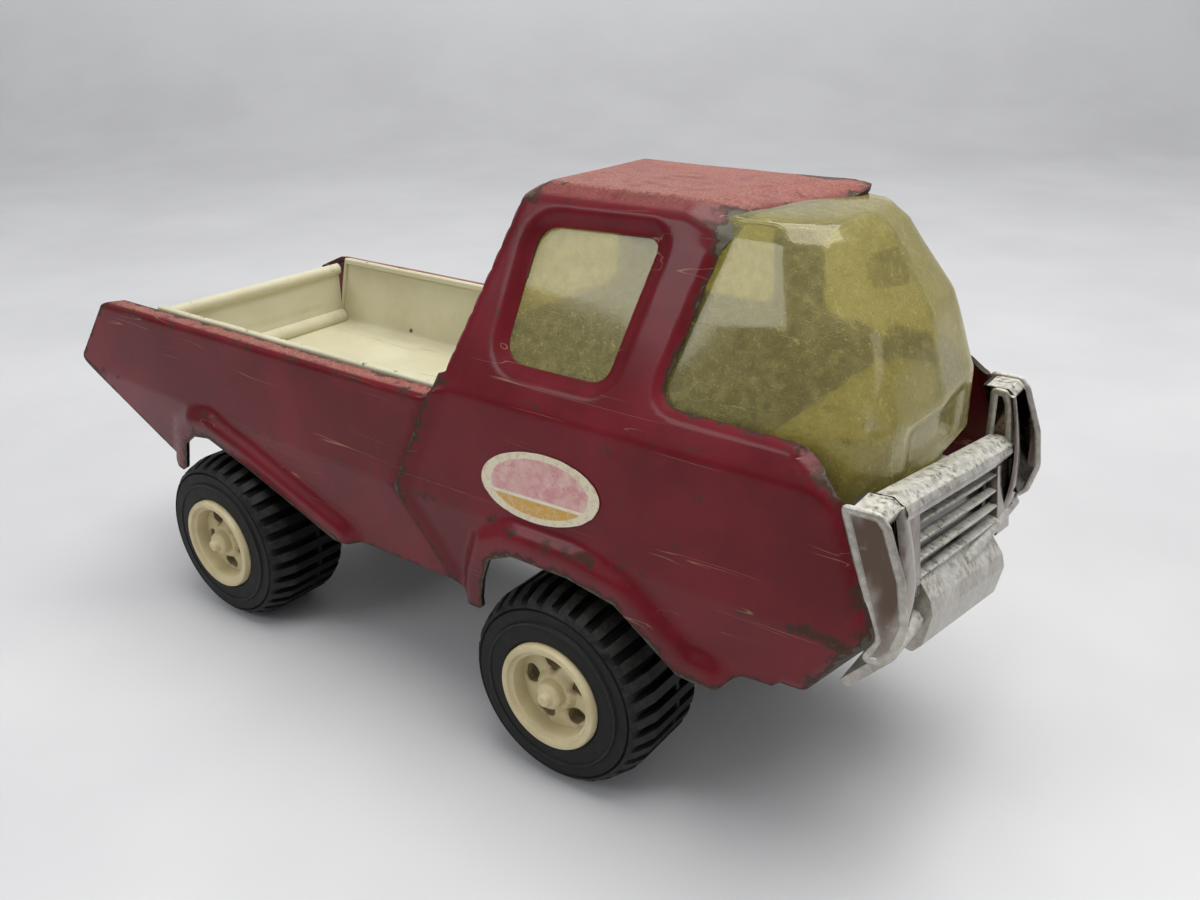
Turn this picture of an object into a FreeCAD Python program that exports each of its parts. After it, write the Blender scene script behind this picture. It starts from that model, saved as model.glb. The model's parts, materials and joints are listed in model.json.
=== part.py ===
import FreeCAD, Part

import math
import os
import re

import Sketcher

# Push along toy pickup truck: pressed steel cab and bed, moulded window, plated grille,
# a bed liner with a drop tailgate, and four free-turning wheels on two steel axles.
# Millimetres, +X to the truck's front, +Y to its left, +Z up, origin on the ground under the middle.

DIMENSIONS = {
    # sheet metal, mouldings and fits
    "steel": 1.0, "clear_wall": 1.2, "running_gap": 0.07,
    # half widths of the body at its height lines
    "sill_z": 33.0, "sill_half": 36.0, "crease_z": 55.5, "crease_half": 39.9,
    "belt_z": 80.5, "belt_half": 38.4, "shoulder_z": 84.5, "shoulder_half": 36.6,
    "eave_z": 117.6, "eave_half": 21.6, "roof_z": 120.0, "roof_half": 16.5,
    # cab stations along the truck
    "cab_foot_x": 18.2, "cab_tail_x": 6.8, "cab_belt_x": 18.5, "cab_eave_x": 28.8,
    "roof_back_x": 31.0, "roof_lip_x": 80.0, "pillar_top_x": 76.4, "pillar_foot_x": 69.7,
    "windshield_sill_z": 87.4, "sill_turn_x": 99.3, "nose_top_x": 107.0, "nose_top_z": 80.0,
    "nose_tip_x": 115.5, "nose_tip_z": 57.8, "nose_foot_x": 102.7, "nose_foot_z": 40.5,
    # bed
    "rail_tail_x": -106.3, "rail_z": 77.8, "bed_tail_x": -120.0, "tail_crease_z": 57.9,
    "diagonal_x": -83.8, "diagonal_z": 36.7, "bed_nose_x": 20.0, "rail_half": 37.2,
    "rail_inner_half": 33.4, "bed_crease_half": 38.6, "bed_foot_half": 34.8,
    # liner and tailgate
    "liner_sheet": 0.9, "liner_half": 32.9, "liner_floor_z": 57.0, "liner_top_z": 78.4,
    "liner_tail_x": -88.0, "liner_nose_x": 16.0, "gate_half": 31.4, "gate_top_z": 74.6,
    "gate_sheet": 1.2, "gate_pin_x": -90.8, "gate_pin_z": 59.4, "gate_pin_radius": 0.9,
    # wheels and axles
    "front_axle_x": 51.5, "rear_axle_x": -58.0, "axle_z": 22.2, "axle_radius": 1.5,
    "axle_head_radius": 2.1, "axle_end_y": 43.4, "tyre_radius": 22.2, "tyre_inner_y": 20.5,
    "tyre_outer_y": 44.3, "hub_radius": 12.0, "hub_face_y": 45.5, "cap_tip_y": 46.6,
    # chassis and cab fittings
    "chassis_half": 16.0, "chassis_top_z": 54.3, "chassis_foot_z": 17.5,
    "tray_half": 33.0, "tray_floor_z": 61.0, "dash_top_z": 83.5, "seat_top_z": 97.0,
    # grille and bumper
    "pod_half": 38.2, "pod_inner_half": 29.6, "grille_x": 109.8, "bumper_x": 120.0,
    # oval side label
    "label_x": 46.4, "label_z": 65.9, "label_length": 29.0, "label_height": 13.6,
    "label_sheet": 0.15,
}
TREAD_GROOVES = 30
HUB_HOLES = 5

doc = FreeCAD.newDocument("push_along_truck")
sizes = doc.addObject("Spreadsheet::Sheet", "sizes")
for row, (alias, value) in enumerate(DIMENSIONS.items(), start=1):
    sizes.set("A%d" % row, alias)
    sizes.set("B%d" % row, str(value))
    sizes.setAlias("B%d" % row, alias)
doc.recompute()

SUB_PARTS = []


# --- building blocks ---------------------------------------------------------------------------

def bound(formula):
    """Turns a formula of bare dimension names into one that reads the sheet."""
    return re.sub(r"([a-z][a-z_]*)", r"sizes.\1", formula)


def number(formula):
    return float(sizes.evalExpression(bound(formula)))


def mirrored(points):
    """The same points on the other side of the middle, in the order that closes an outline."""
    return [("-(%s)" % across, height) for across, height in reversed(points)]


def outline_sketch(body, name, role, points):
    """Closed polygon on one of the body's own planes, every corner bound to the sheet."""
    sketch = body.newObject("Sketcher::SketchObject", name)
    plane = [item for item in body.Origin.OriginFeatures if item.Role == role][0]
    sketch.AttachmentSupport = [(plane, "")]
    sketch.MapMode = "FlatFace"
    corners = [FreeCAD.Vector(number(u), number(v), 0) for u, v in points]
    count = len(corners)
    for index in range(count):
        sketch.addGeometry(Part.LineSegment(corners[index], corners[(index + 1) % count]))
    for index in range(count):
        sketch.addConstraint(Sketcher.Constraint("Coincident", index, 2, (index + 1) % count, 1))
    for index, (u, v) in enumerate(points):
        for kind, formula in (("DistanceX", u), ("DistanceY", v)):
            place = Sketcher.Constraint(kind, -1, 1, index, 1, number(formula))
            slot = sketch.addConstraint(place)
            sketch.setExpression("Constraints[%d]" % slot, bound(formula))
    return sketch


def prism(name, role, points, length):
    """Body padded evenly to both sides of an origin plane."""
    body = doc.addObject("PartDesign::Body", name)
    pad = body.newObject("PartDesign::Pad", name + "_pad")
    pad.Profile = outline_sketch(body, name + "_outline", role, points)
    pad.SideType = "Symmetric"
    pad.setExpression("Length", bound(length))
    return body


def shifted_prism(name, role, points, length, shift_y):
    """Prism whose middle is moved sideways, for a wall on one side of the truck."""
    body = prism(name, role, points, length)
    body.setExpression("Placement.Base.y", bound(shift_y))
    return body


def turned(name, points):
    """Body revolved about its Z axis; the points are radius and height."""
    body = doc.addObject("PartDesign::Body", name)
    spin = body.newObject("PartDesign::Revolution", name + "_turn")
    sketch = outline_sketch(body, name + "_outline", "XZ_Plane", points)
    spin.Profile = sketch
    spin.ReferenceAxis = (sketch, ["V_Axis"])
    spin.Angle = 360
    return body


def box(name, low, high):
    """Box between two corners given as formulas."""
    item = doc.addObject("Part::Box", name)
    for axis, size, first, last in zip("xyz", ("Length", "Width", "Height"), low, high):
        item.setExpression("Placement.Base." + axis, bound(first))
        item.setExpression(size, bound("(%s) - (%s)" % (last, first)))
    return item


def rod(name, radius, low, length, turn):
    """Cylinder from the point low, turned from +Z to its own direction."""
    item = doc.addObject("Part::Cylinder", name)
    item.setExpression("Radius", bound(radius))
    item.setExpression("Height", bound(length))
    item.Placement = FreeCAD.Placement(FreeCAD.Vector(0, 0, 0), turn)
    for letter, formula in zip("xyz", low):
        item.setExpression("Placement.Base." + letter, bound(formula))
    return item


def fuse(name, *shapes):
    result = doc.addObject("Part::MultiFuse", name)
    result.Shapes = list(shapes)
    return result


def common(name, *shapes):
    result = doc.addObject("Part::MultiCommon", name)
    result.Shapes = list(shapes)
    return result


def cut(name, base, *tools):
    result = doc.addObject("Part::Cut", name)
    result.Base = base
    result.Tool = tools[0] if len(tools) == 1 else fuse(name + "_tools", *tools)
    return result


def keep(item, node):
    item.Label = node
    SUB_PARTS.append(item)


ALONG_Z = FreeCAD.Rotation()
ALONG_Y = FreeCAD.Rotation(FreeCAD.Vector(1, 0, 0), -90)


# --- pressed steel cab -------------------------------------------------------------------------

def cab_section(name, inset, roof_inset):
    """Bar with the cab's cross-section, its walls pulled in by inset."""
    half = [("sill_half - " + inset, "0"), ("sill_half - " + inset, "sill_z"),
            ("crease_half - " + inset, "crease_z"), ("belt_half - " + inset, "belt_z"),
            ("shoulder_half - " + inset, "shoulder_z"),
            ("eave_half - " + inset, "eave_z - 0.5 * " + roof_inset),
            ("roof_half", "roof_z - " + roof_inset)]
    return prism(name, "YZ_Plane", half + mirrored(half), "300")


def make_cab():
    arch = [("nose_foot_x - 12", "nose_foot_z"), ("nose_foot_x - 18", "sill_z + 2.5"),
            ("nose_foot_x - 23", "sill_z + 2.5"), ("front_axle_x + 21", "axle_z + 19.5"),
            ("front_axle_x + 14", "axle_z + 25.8"), ("front_axle_x + 3", "axle_z + 28"),
            ("front_axle_x - 11", "axle_z + 28"), ("front_axle_x - 18", "axle_z + 23"),
            ("front_axle_x - 22.5", "axle_z + 12"), ("front_axle_x - 22.5", "sill_z - 1"),
            ("front_axle_x - 26.5", "sill_z - 1")]
    side = [("cab_foot_x", "sill_z + 2"), ("cab_tail_x", "crease_z"), ("cab_belt_x", "belt_z"),
            ("cab_eave_x", "eave_z"), ("roof_back_x", "roof_z"), ("roof_lip_x", "roof_z"),
            ("roof_lip_x", "roof_z - steel"), ("pillar_top_x", "roof_z - 3"),
            ("pillar_foot_x", "windshield_sill_z"), ("sill_turn_x", "windshield_sill_z"),
            ("nose_top_x", "nose_top_z"), ("nose_tip_x", "nose_tip_z"),
            ("nose_foot_x", "nose_foot_z")] + arch
    outer = common("cab_outer", prism("cab_side", "XZ_Plane", side, "2 * crease_half + 2"),
                   cab_section("cab_bar", "0", "0"))
    hollow_side = [("-20", "0"), ("-20", "belt_z - 2"), ("cab_belt_x + steel", "belt_z - 2"),
                   ("cab_eave_x + steel", "eave_z"), ("roof_back_x + steel", "roof_z - steel"),
                   ("bumper_x + 10", "roof_z - steel"), ("bumper_x + 10", "0")]
    hollow = common("cab_hollow", prism("hollow_side", "XZ_Plane", hollow_side, "2 * crease_half"),
                    cab_section("hollow_bar", "steel", "steel"))
    pane = [("cab_eave_x + 5", "shoulder_z + 4"), ("pillar_foot_x - 11", "shoulder_z + 4"),
            ("pillar_foot_x - 9.5", "shoulder_z + 14"), ("pillar_foot_x - 7.5", "eave_z - 6"),
            ("pillar_foot_x - 9.5", "eave_z - 4"), ("cab_eave_x + 6.5", "eave_z - 4")]
    rear_pane = [("21", "shoulder_z + 6"), ("13", "eave_z - 5")]
    walls = cut("cab", outer, hollow,
                prism("side_window_hole", "XZ_Plane", pane, "4 * crease_half"),
                prism("rear_window_hole", "YZ_Plane", rear_pane + mirrored(rear_pane),
                      "2 * cab_eave_x + 10"))
    keep(walls, "cab_shell")


# --- pressed steel bed -------------------------------------------------------------------------

def make_bed():
    side = [("bed_nose_x", "sill_z"), ("bed_nose_x", "rail_z"), ("rail_tail_x", "rail_z"),
            ("bed_tail_x", "tail_crease_z"), ("diagonal_x", "diagonal_z"),
            ("rear_axle_x - 20", "sill_z + 2"), ("rear_axle_x - 18.2", "axle_z + 16"),
            ("rear_axle_x - 14.5", "axle_z + 23.5"), ("rear_axle_x - 8", "axle_z + 26.8"),
            ("rear_axle_x - 1", "axle_z + 26.8"), ("rear_axle_x + 9.4", "axle_z + 23.2"),
            ("rear_axle_x + 28", "axle_z + 15"), ("rear_axle_x + 41", "sill_z")]
    # the outer skin up to the rail's returned edge, back down inside to the deck's top face
    skin = [("bed_foot_half", "sill_z"), ("bed_crease_half", "crease_z"),
            ("rail_half", "rail_z - 2"), ("rail_half - 1.6", "rail_z"),
            ("rail_inner_half", "rail_z"), ("rail_inner_half", "rail_z - steel"),
            ("rail_half - 2", "rail_z - steel"), ("rail_half - steel", "rail_z - 2.4"),
            ("bed_crease_half - steel", "crease_z")]
    under = [("bed_crease_half - steel", "crease_z - steel"), ("bed_foot_half - steel", "sill_z")]
    profile = skin + mirrored(skin) + mirrored(under) + under
    rivet_holes = [rod("rivet_hole_%d" % index, "1.4 + running_gap", (x, y, "crease_z - 3"), "6",
                       ALONG_Z) for index, (x, y) in enumerate(RIVET_PLACES)]
    behind_gate = box("bed_tail_opening", ("bed_tail_x - 1", "-(rail_half - 1.2)", "0"),
                      ("gate_pin_x - 2.5", "rail_half - 1.2", "rail_z - steel - 0.4"))
    shell = cut("bed", common("bed_solid", prism("bed_side", "XZ_Plane", side, "2 * crease_half"),
                              prism("bed_bar", "YZ_Plane", profile, "260")),
                behind_gate, *rivet_holes)
    keep(shell, "bed_shell")


RIVET_PLACES = [("-40", "9"), ("-40", "-9"), ("4", "9"), ("4", "-9")]


def make_liner():
    wall = [("liner_half", "liner_floor_z - liner_sheet"), ("liner_half", "liner_top_z"),
            ("liner_half - 1.7", "liner_top_z"), ("liner_half - 1.7", "liner_top_z - 1.8"),
            ("liner_half - liner_sheet", "liner_top_z - 1.8"),
            ("liner_half - liner_sheet", "liner_floor_z")]
    side = [("liner_nose_x - liner_sheet", "liner_floor_z - 2"),
            ("liner_nose_x - liner_sheet", "liner_top_z"),
            ("liner_tail_x", "liner_top_z"), ("liner_tail_x", "gate_pin_z + 3"),
            ("gate_pin_x - 2.2", "gate_pin_z + 2.2"), ("gate_pin_x - 2.2", "liner_floor_z - 2")]
    channel = common("liner_channel", prism("liner_bar", "YZ_Plane", wall + mirrored(wall), "240"),
                     prism("liner_side", "XZ_Plane", side, "2 * liner_half"))
    front = box("liner_front", ("liner_nose_x - liner_sheet", "-liner_half", "liner_floor_z - liner_sheet"),
                ("liner_nose_x", "liner_half", "liner_top_z"))
    pin_hole = rod("liner_pin_hole", "gate_pin_radius + running_gap",
                   ("gate_pin_x", "-rail_half", "gate_pin_z"), "2 * rail_half", ALONG_Y)
    drain = rod("liner_side_hole", "1.1", ("liner_tail_x + 28", "liner_half - 3", "liner_floor_z + 3"),
                "6", ALONG_Y)
    floor_end = box("liner_floor_end", ("gate_pin_x - 4", "liner_sheet - liner_half", "liner_floor_z - 3"),
                    ("liner_tail_x", "liner_half - liner_sheet", "liner_floor_z + 1"))
    keep(cut("liner", fuse("liner_sheets", channel, front), pin_hole, drain, floor_end), "bed_liner")


def make_tailgate():
    inner = "gate_pin_x + 0.5 * gate_sheet"
    outer = "gate_pin_x - 0.5 * gate_sheet"
    leaf = box("gate_leaf", (outer, "-gate_half", "gate_pin_z"), (inner, "gate_half", "gate_top_z"))
    barrel = rod("gate_barrel", "gate_pin_radius + 1", ("gate_pin_x", "-gate_half", "gate_pin_z"),
                 "2 * gate_half", ALONG_Y)
    roll = rod("gate_roll", "1.3", ("gate_pin_x - 0.2", "-gate_half", "gate_top_z - 0.3"),
               "2 * gate_half", ALONG_Y)
    rib = box("gate_rib", ("gate_pin_x - 1.3", "7 - gate_half", "gate_pin_z + 6"),
              ("gate_pin_x", "gate_half - 7", "gate_pin_z + 10"))
    bore = rod("gate_bore", "gate_pin_radius + running_gap", ("gate_pin_x", "-rail_half", "gate_pin_z"),
               "2 * rail_half", ALONG_Y)
    keep(cut("gate", fuse("gate_sheet_parts", leaf, barrel, roll, rib), bore), "tailgate")
    shank = rod("gate_rod", "gate_pin_radius", ("gate_pin_x", "-liner_half - 1.2", "gate_pin_z"),
                "2 * liner_half + 2.4", ALONG_Y)
    heads = [rod("gate_rod_head_" + name, "1.7", ("gate_pin_x", start, "gate_pin_z"), "0.8", ALONG_Y)
             for name, start in (("right", "-liner_half - 1"), ("left", "liner_half + 0.2"))]
    keep(fuse("gate_rod_headed", shank, *heads), "tailgate_rod")


# --- chassis and what it carries ---------------------------------------------------------------

def make_chassis():
    half = [("chassis_half", "0"), ("chassis_half", "chassis_top_z")]
    inner = [("chassis_half - 1.2", "0"), ("chassis_half - 1.2", "chassis_top_z - 1.2")]
    side = [("rear_axle_x - 16", "chassis_top_z"), ("rear_axle_x - 14", "axle_z + 8"),
            ("rear_axle_x - 6", "chassis_foot_z"), ("rear_axle_x + 6", "chassis_foot_z"),
            ("rear_axle_x + 16", "chassis_top_z - 12"), ("front_axle_x - 16", "chassis_top_z - 12"),
            ("front_axle_x - 6", "chassis_foot_z"), ("front_axle_x + 6", "chassis_foot_z"),
            ("front_axle_x + 14", "axle_z + 20"), ("nose_foot_x - 6", "axle_z + 24"),
            ("nose_foot_x - 6", "chassis_top_z")]
    channel = cut("chassis_channel", prism("chassis_bar", "YZ_Plane", half + mirrored(half), "300"),
                  prism("chassis_inside", "YZ_Plane", inner + mirrored(inner), "320"))
    solid = common("chassis_solid", channel, prism("chassis_side", "XZ_Plane", side, "80"))
    holes = [rod("chassis_axle_hole_" + name, "axle_radius + running_gap",
                 (x, "-2 * chassis_half", "axle_z"), "4 * chassis_half", ALONG_Y)
             for name, x in (("front", "front_axle_x"), ("rear", "rear_axle_x"))]
    holes += [rod("chassis_rivet_hole_%d" % index, "1.4 + running_gap",
                  (x, y, "chassis_top_z - 4"), "8", ALONG_Z)
              for index, (x, y) in enumerate(RIVET_PLACES)]
    holes += [rod("chassis_screw_hole_%d" % index, "1.25 + running_gap",
                  (x, "0", "chassis_top_z - 4"), "8", ALONG_Z)
              for index, x in enumerate(SCREW_PLACES)]
    keep(cut("chassis_drilled", solid, *holes), "chassis")
    keep(box("crossmember", ("nose_foot_x - 20", "-(crease_half - 2)", "chassis_top_z + 0.05"),
             ("nose_foot_x - 10", "crease_half - 2", "chassis_top_z + 1.05")), "cab_crossmember")


SCREW_PLACES = ["30", "72"]


def make_fasteners():
    rivets = []
    for index, (x, y) in enumerate(RIVET_PLACES):
        rivets.append(rod("rivet_%d" % index, "1.4", (x, y, "chassis_top_z - 2"), "3.4", ALONG_Z))
        rivets.append(rod("rivet_head_%d" % index, "2.5", (x, y, "chassis_top_z - 2.1"), "0.85",
                          ALONG_Z))
    keep(fuse("rivets", *rivets), "bed_rivets")
    screws = []
    for index, x in enumerate(SCREW_PLACES):
        screws.append(rod("screw_%d" % index, "1.25", (x, "0", "chassis_top_z - 2"), "6.5", ALONG_Z))
        screws.append(rod("screw_head_%d" % index, "2.6", (x, "0", "chassis_top_z - 3"), "1.75",
                          ALONG_Z))
    keep(fuse("screws", *screws), "tray_screws")


def make_axles():
    for name, station in (("front", "front_axle_x"), ("rear", "rear_axle_x")):
        half = [("axle_radius", "axle_end_y - 0.8"), ("axle_head_radius", "axle_end_y - 0.8"),
                ("axle_head_radius", "axle_end_y - 0.2"), ("axle_head_radius - 0.5", "axle_end_y"),
                ("0", "axle_end_y")]
        other = [(radius, "-(%s)" % along) for radius, along in reversed(half)]
        body = turned(name + "_axle_rod", half + other)
        body.Placement = FreeCAD.Placement(FreeCAD.Vector(0, 0, 0), ALONG_Y)
        body.setExpression("Placement.Base.x", bound(station))
        body.setExpression("Placement.Base.z", bound("axle_z"))
        keep(body, name + "_axle")


# --- wheels ------------------------------------------------------------------------------------

def grooved_tyre(name):
    """Tyre about Z with plain cross grooves round its tread; heights are distances from the middle."""
    body = turned(name, [
        ("hub_radius + 0.03", "tyre_inner_y + 3"), ("hub_radius + 0.03", "tyre_outer_y - 0.3"),
        ("hub_radius + 1", "tyre_outer_y"), ("tyre_radius - 2.6", "tyre_outer_y"),
        ("tyre_radius - 0.8", "tyre_outer_y - 1.1"), ("tyre_radius", "tyre_outer_y - 2.8"),
        ("tyre_radius", "tyre_inner_y + 2.8"), ("tyre_radius - 0.8", "tyre_inner_y + 1.1"),
        ("tyre_radius - 2.6", "tyre_inner_y"), ("hub_radius + 2", "tyre_inner_y"),
        ("hub_radius + 1", "tyre_inner_y + 3")])
    doc.recompute()
    groove = [("tyre_radius - 1.4", "-1.05"), ("tyre_radius + 2", "-1.05"),
              ("tyre_radius + 2", "1.05"), ("tyre_radius - 1.4", "1.05")]
    sketch = outline_sketch(body, name + "_groove_outline", "XY_Plane", groove)
    pocket = body.newObject("PartDesign::Pocket", name + "_groove")
    pocket.Profile = sketch
    pocket.Reversed = True
    pocket.setExpression("Length", bound("tyre_outer_y - 1.4"))
    pattern = body.newObject("PartDesign::PolarPattern", name + "_tread")
    pattern.Originals = [pocket]
    pattern.Axis = (sketch, ["N_Axis"])
    pattern.Angle = 360
    pattern.Occurrences = TREAD_GROOVES
    body.Tip = pattern
    return body


def holed_hub(name):
    """Dished hub about Z with a long bore tube and holes round the dish."""
    disc = turned(name + "_disc", [
        ("axle_radius + running_gap", "chassis_half + 0.6"), ("3.6", "chassis_half + 0.6"),
        ("3.6", "hub_face_y - 5.7"), ("hub_radius - 1.4", "hub_face_y - 5.7"),
        ("hub_radius - 1.4", "tyre_inner_y + 3.5"), ("hub_radius - 0.02", "tyre_inner_y + 3.5"),
        ("hub_radius - 0.02", "hub_face_y - 0.5"), ("hub_radius - 0.6", "hub_face_y"),
        ("hub_radius - 1.5", "hub_face_y"), ("hub_radius - 1.9", "hub_face_y - 0.9"),
        ("hub_radius - 2.5", "hub_face_y - 1.1"), ("hub_radius - 2.9", "hub_face_y - 4.2"),
        ("4.4", "hub_face_y - 4.4"), ("4.1", "hub_face_y - 3.1"),
        ("axle_radius + running_gap", "hub_face_y - 3.1")])
    holes = []
    for index in range(HUB_HOLES):
        angle = math.radians(9 + 360 * index / HUB_HOLES)
        place = ("%.4f * hub_radius" % (0.56 * math.cos(angle)),
                 "%.4f * hub_radius" % (0.56 * math.sin(angle)), "hub_face_y - 9")
        holes.append(rod("%s_hole_%d" % (name, index), "0.17 * hub_radius", place, "9", ALONG_Z))
    return cut(name, disc, *holes)


def make_wheels():
    corners = [("front_right", "front_axle_x", 90), ("front_left", "front_axle_x", -90),
               ("rear_right", "rear_axle_x", 90), ("rear_left", "rear_axle_x", -90)]
    for corner, station, turn in corners:
        cap = turned("cap_" + corner, [
            ("2.4", "hub_face_y - 3.05"), ("3.1", "hub_face_y - 3.05"), ("2.9", "hub_face_y - 2.2"),
            ("1.5", "cap_tip_y - 0.3"), ("1.2", "cap_tip_y"), ("0", "cap_tip_y"),
            ("0", "hub_face_y - 1.6"), ("2.2", "hub_face_y - 1.6")])
        for item, node in ((grooved_tyre("tread_" + corner), "tyre_" + corner),
                           (holed_hub("dish_" + corner), "hub_" + corner),
                           (cap, "hub_cap_" + corner)):
            item.Placement = FreeCAD.Placement(
                FreeCAD.Vector(0, 0, 0), FreeCAD.Rotation(FreeCAD.Vector(1, 0, 0), turn))
            item.setExpression("Placement.Base.x", bound(station))
            item.setExpression("Placement.Base.z", bound("axle_z"))
            keep(item, node)


# --- window moulding ---------------------------------------------------------------------------

def glazing_solid(name, inset, foot_drop):
    """Closed loft of the cab's window space: rear wall, sides and the bowed front."""
    sections = [
        # height, then distance along the truck and half width from the rear corner to the front
        ("74", [(21.5, 34.8), (69.0, 34.8), (98.0, 31.5), (105.0, 28.0), (108.6, 21.0), (109.0, 8.0)]),
        ("86", [(23.6, 34.6), (69.0, 34.6), (97.5, 30.8), (104.0, 27.5), (108.2, 20.8), (109.9, 8.0)]),
        ("102", [(27.6, 27.3), (69.0, 27.3), (91.5, 25.8), (98.0, 23.0), (102.2, 18.0), (104.4, 7.0)]),
        ("117.8", [(31.7, 18.6), (69.0, 18.6), (84.0, 18.3), (89.2, 16.2), (92.6, 12.0), (94.4, 5.0)]),
    ]
    body = doc.addObject("PartDesign::Body", name)
    rings = []
    for index, (height, half) in enumerate(sections):
        points = []
        for order, (along, across) in enumerate(half):
            step = "+" if order == 0 else "-"
            points.append(("%s %s %s" % (along, step, inset), "%s - %s" % (across, inset)))
        ring = points + [(along, "-(%s)" % across) for along, across in reversed(points)]
        sketch = outline_sketch(body, "%s_ring_%d" % (name, index), "XY_Plane", ring)
        lift = height + (" - " + inset if index == len(sections) - 1 else "")
        if index == 0:
            lift = height + " - " + foot_drop
        sketch.setExpression("AttachmentOffset.Base.z", bound(lift))
        rings.append(sketch)
    loft = body.newObject("PartDesign::AdditiveLoft", name + "_loft")
    loft.Profile = rings[0]
    loft.Sections = rings[1:]
    loft.Ruled = True
    return body


def make_glazing():
    keep(cut("glazing", glazing_solid("glazing_outer", "0", "0"),
             glazing_solid("glazing_inner", "clear_wall", "5")), "window_moulding")


# --- plated grille and bumper ------------------------------------------------------------------

def make_grille():
    cheek = [("nose_top_x + 0.6", "nose_top_z - 0.2"), ("nose_top_x + 5.5", "nose_top_z - 0.2"),
             ("nose_top_x + 7", "nose_top_z - 1.2"), ("bumper_x - 2.2", "nose_tip_z + 12"),
             ("bumper_x", "nose_tip_z + 4"), ("bumper_x - 1", "nose_tip_z - 2"),
             ("bumper_x - 3", "nose_tip_z - 4.4"), ("nose_tip_x - 1", "nose_tip_z - 4.4"),
             ("nose_tip_x + 0.7", "nose_tip_z")]
    inner_cheek = [("nose_top_x + 0.6", "nose_top_z - 0.2"), ("nose_top_x + 5", "nose_top_z - 0.2"),
                   ("nose_top_x + 7", "nose_top_z - 3"), ("bumper_x - 3.5", "nose_tip_z + 10"),
                   ("bumper_x - 2", "nose_tip_z + 2"), ("bumper_x - 3", "nose_tip_z - 4.4"),
                   ("grille_x", "nose_tip_z - 4.4"), ("grille_x", "nose_top_z - 8")]
    back = [("nose_top_x + 0.6", "nose_top_z - 0.2"), ("nose_top_x + 2", "nose_top_z - 0.2"),
            ("nose_tip_x + 2.1", "nose_tip_z"), ("nose_tip_x + 0.7", "nose_tip_z")]
    lamp_bar = [("nose_top_x + 6.4", "nose_top_z - 2"), ("nose_top_x + 7.6", "nose_top_z - 3"),
                ("bumper_x - 0.8", "nose_tip_z + 4"), ("bumper_x - 2.6", "nose_tip_z - 4"),
                ("bumper_x - 3.8", "nose_tip_z - 4"), ("bumper_x - 2.4", "nose_tip_z + 4")]
    pieces = []
    for side, sign in (("right", "-"), ("left", "")):
        middle = sign + "(pod_half - 0.65)"
        pieces.append(shifted_prism("pod_cheek_" + side, "XZ_Plane", cheek, "1.3", middle))
        middle = sign + "(pod_inner_half + 0.6)"
        pieces.append(shifted_prism("pod_inner_" + side, "XZ_Plane", inner_cheek, "1.2", middle))
        middle = sign + "(0.5 * (pod_half + pod_inner_half))"
        span = "pod_half - pod_inner_half"
        pieces.append(shifted_prism("pod_back_" + side, "XZ_Plane", back, span, middle))
        pieces.append(shifted_prism("pod_lamp_bar_" + side, "XZ_Plane", lamp_bar, "2.2", middle))
        lid = [("nose_top_x + 0.6", "nose_top_z - 0.2"), ("nose_top_x + 5", "nose_top_z - 0.2"),
               ("nose_top_x + 7", "nose_top_z - 2.6"), ("nose_top_x + 1.2", "nose_top_z - 1.6")]
        pieces.append(shifted_prism("pod_lid_" + side, "XZ_Plane", lid, span, middle))
        foot = [("nose_tip_x - 1", "nose_tip_z - 4.4"), ("bumper_x - 3", "nose_tip_z - 4.4"),
                ("bumper_x - 2.6", "nose_tip_z - 3.2"), ("nose_tip_x - 0.6", "nose_tip_z - 3.2")]
        pieces.append(shifted_prism("pod_foot_" + side, "XZ_Plane", foot, span, middle))
    for index in range(4):
        low = "%.1f" % (-0.4 + 3.4 * index)
        pieces.append(box("grille_slat_%d" % index,
                          ("grille_x + 1.6", "-pod_inner_half - 0.5", "nose_tip_z + " + low),
                          ("grille_x + 4.4", "pod_inner_half + 0.5", "nose_tip_z + 1.7 + " + low)))
    pieces.append(prism("grille_top_bar", "XZ_Plane", [
        ("grille_x", "nose_tip_z + 14"), ("grille_x", "nose_top_z - 6"),
        ("grille_x + 3.6", "nose_top_z - 6"), ("grille_x + 5.6", "nose_top_z - 7.6"),
        ("grille_x + 5.6", "nose_tip_z + 13")], "2 * pod_inner_half + 1"))
    pieces.append(prism("skid_plate", "XZ_Plane", [
        ("grille_x + 1", "nose_tip_z - 1.6"), ("grille_x + 5.4", "nose_tip_z - 1.2"),
        ("bumper_x", "nose_tip_z - 8.5"), ("bumper_x - 0.8", "nose_foot_z + 2.5"),
        ("bumper_x - 4", "nose_foot_z"), ("bumper_x - 6", "nose_foot_z + 1.5"),
        ("bumper_x - 3.2", "nose_tip_z - 8")], "50"))
    pieces.append(prism("under_skirt", "XZ_Plane", [
        ("grille_x + 1", "nose_tip_z - 1.6"), ("grille_x + 7.5", "nose_tip_z - 3.2"),
        ("grille_x + 7.5", "nose_tip_z - 6.5"), ("nose_foot_x + 3", "nose_foot_z - 1.6"),
        ("nose_foot_x + 2", "nose_foot_z - 0.4"), ("nose_tip_x + 0.4", "nose_tip_z - 4")],
        "2 * pod_inner_half + 2"))
    keep(fuse("grille", *pieces), "grille_bumper")


# --- cab interior ------------------------------------------------------------------------------

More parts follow.
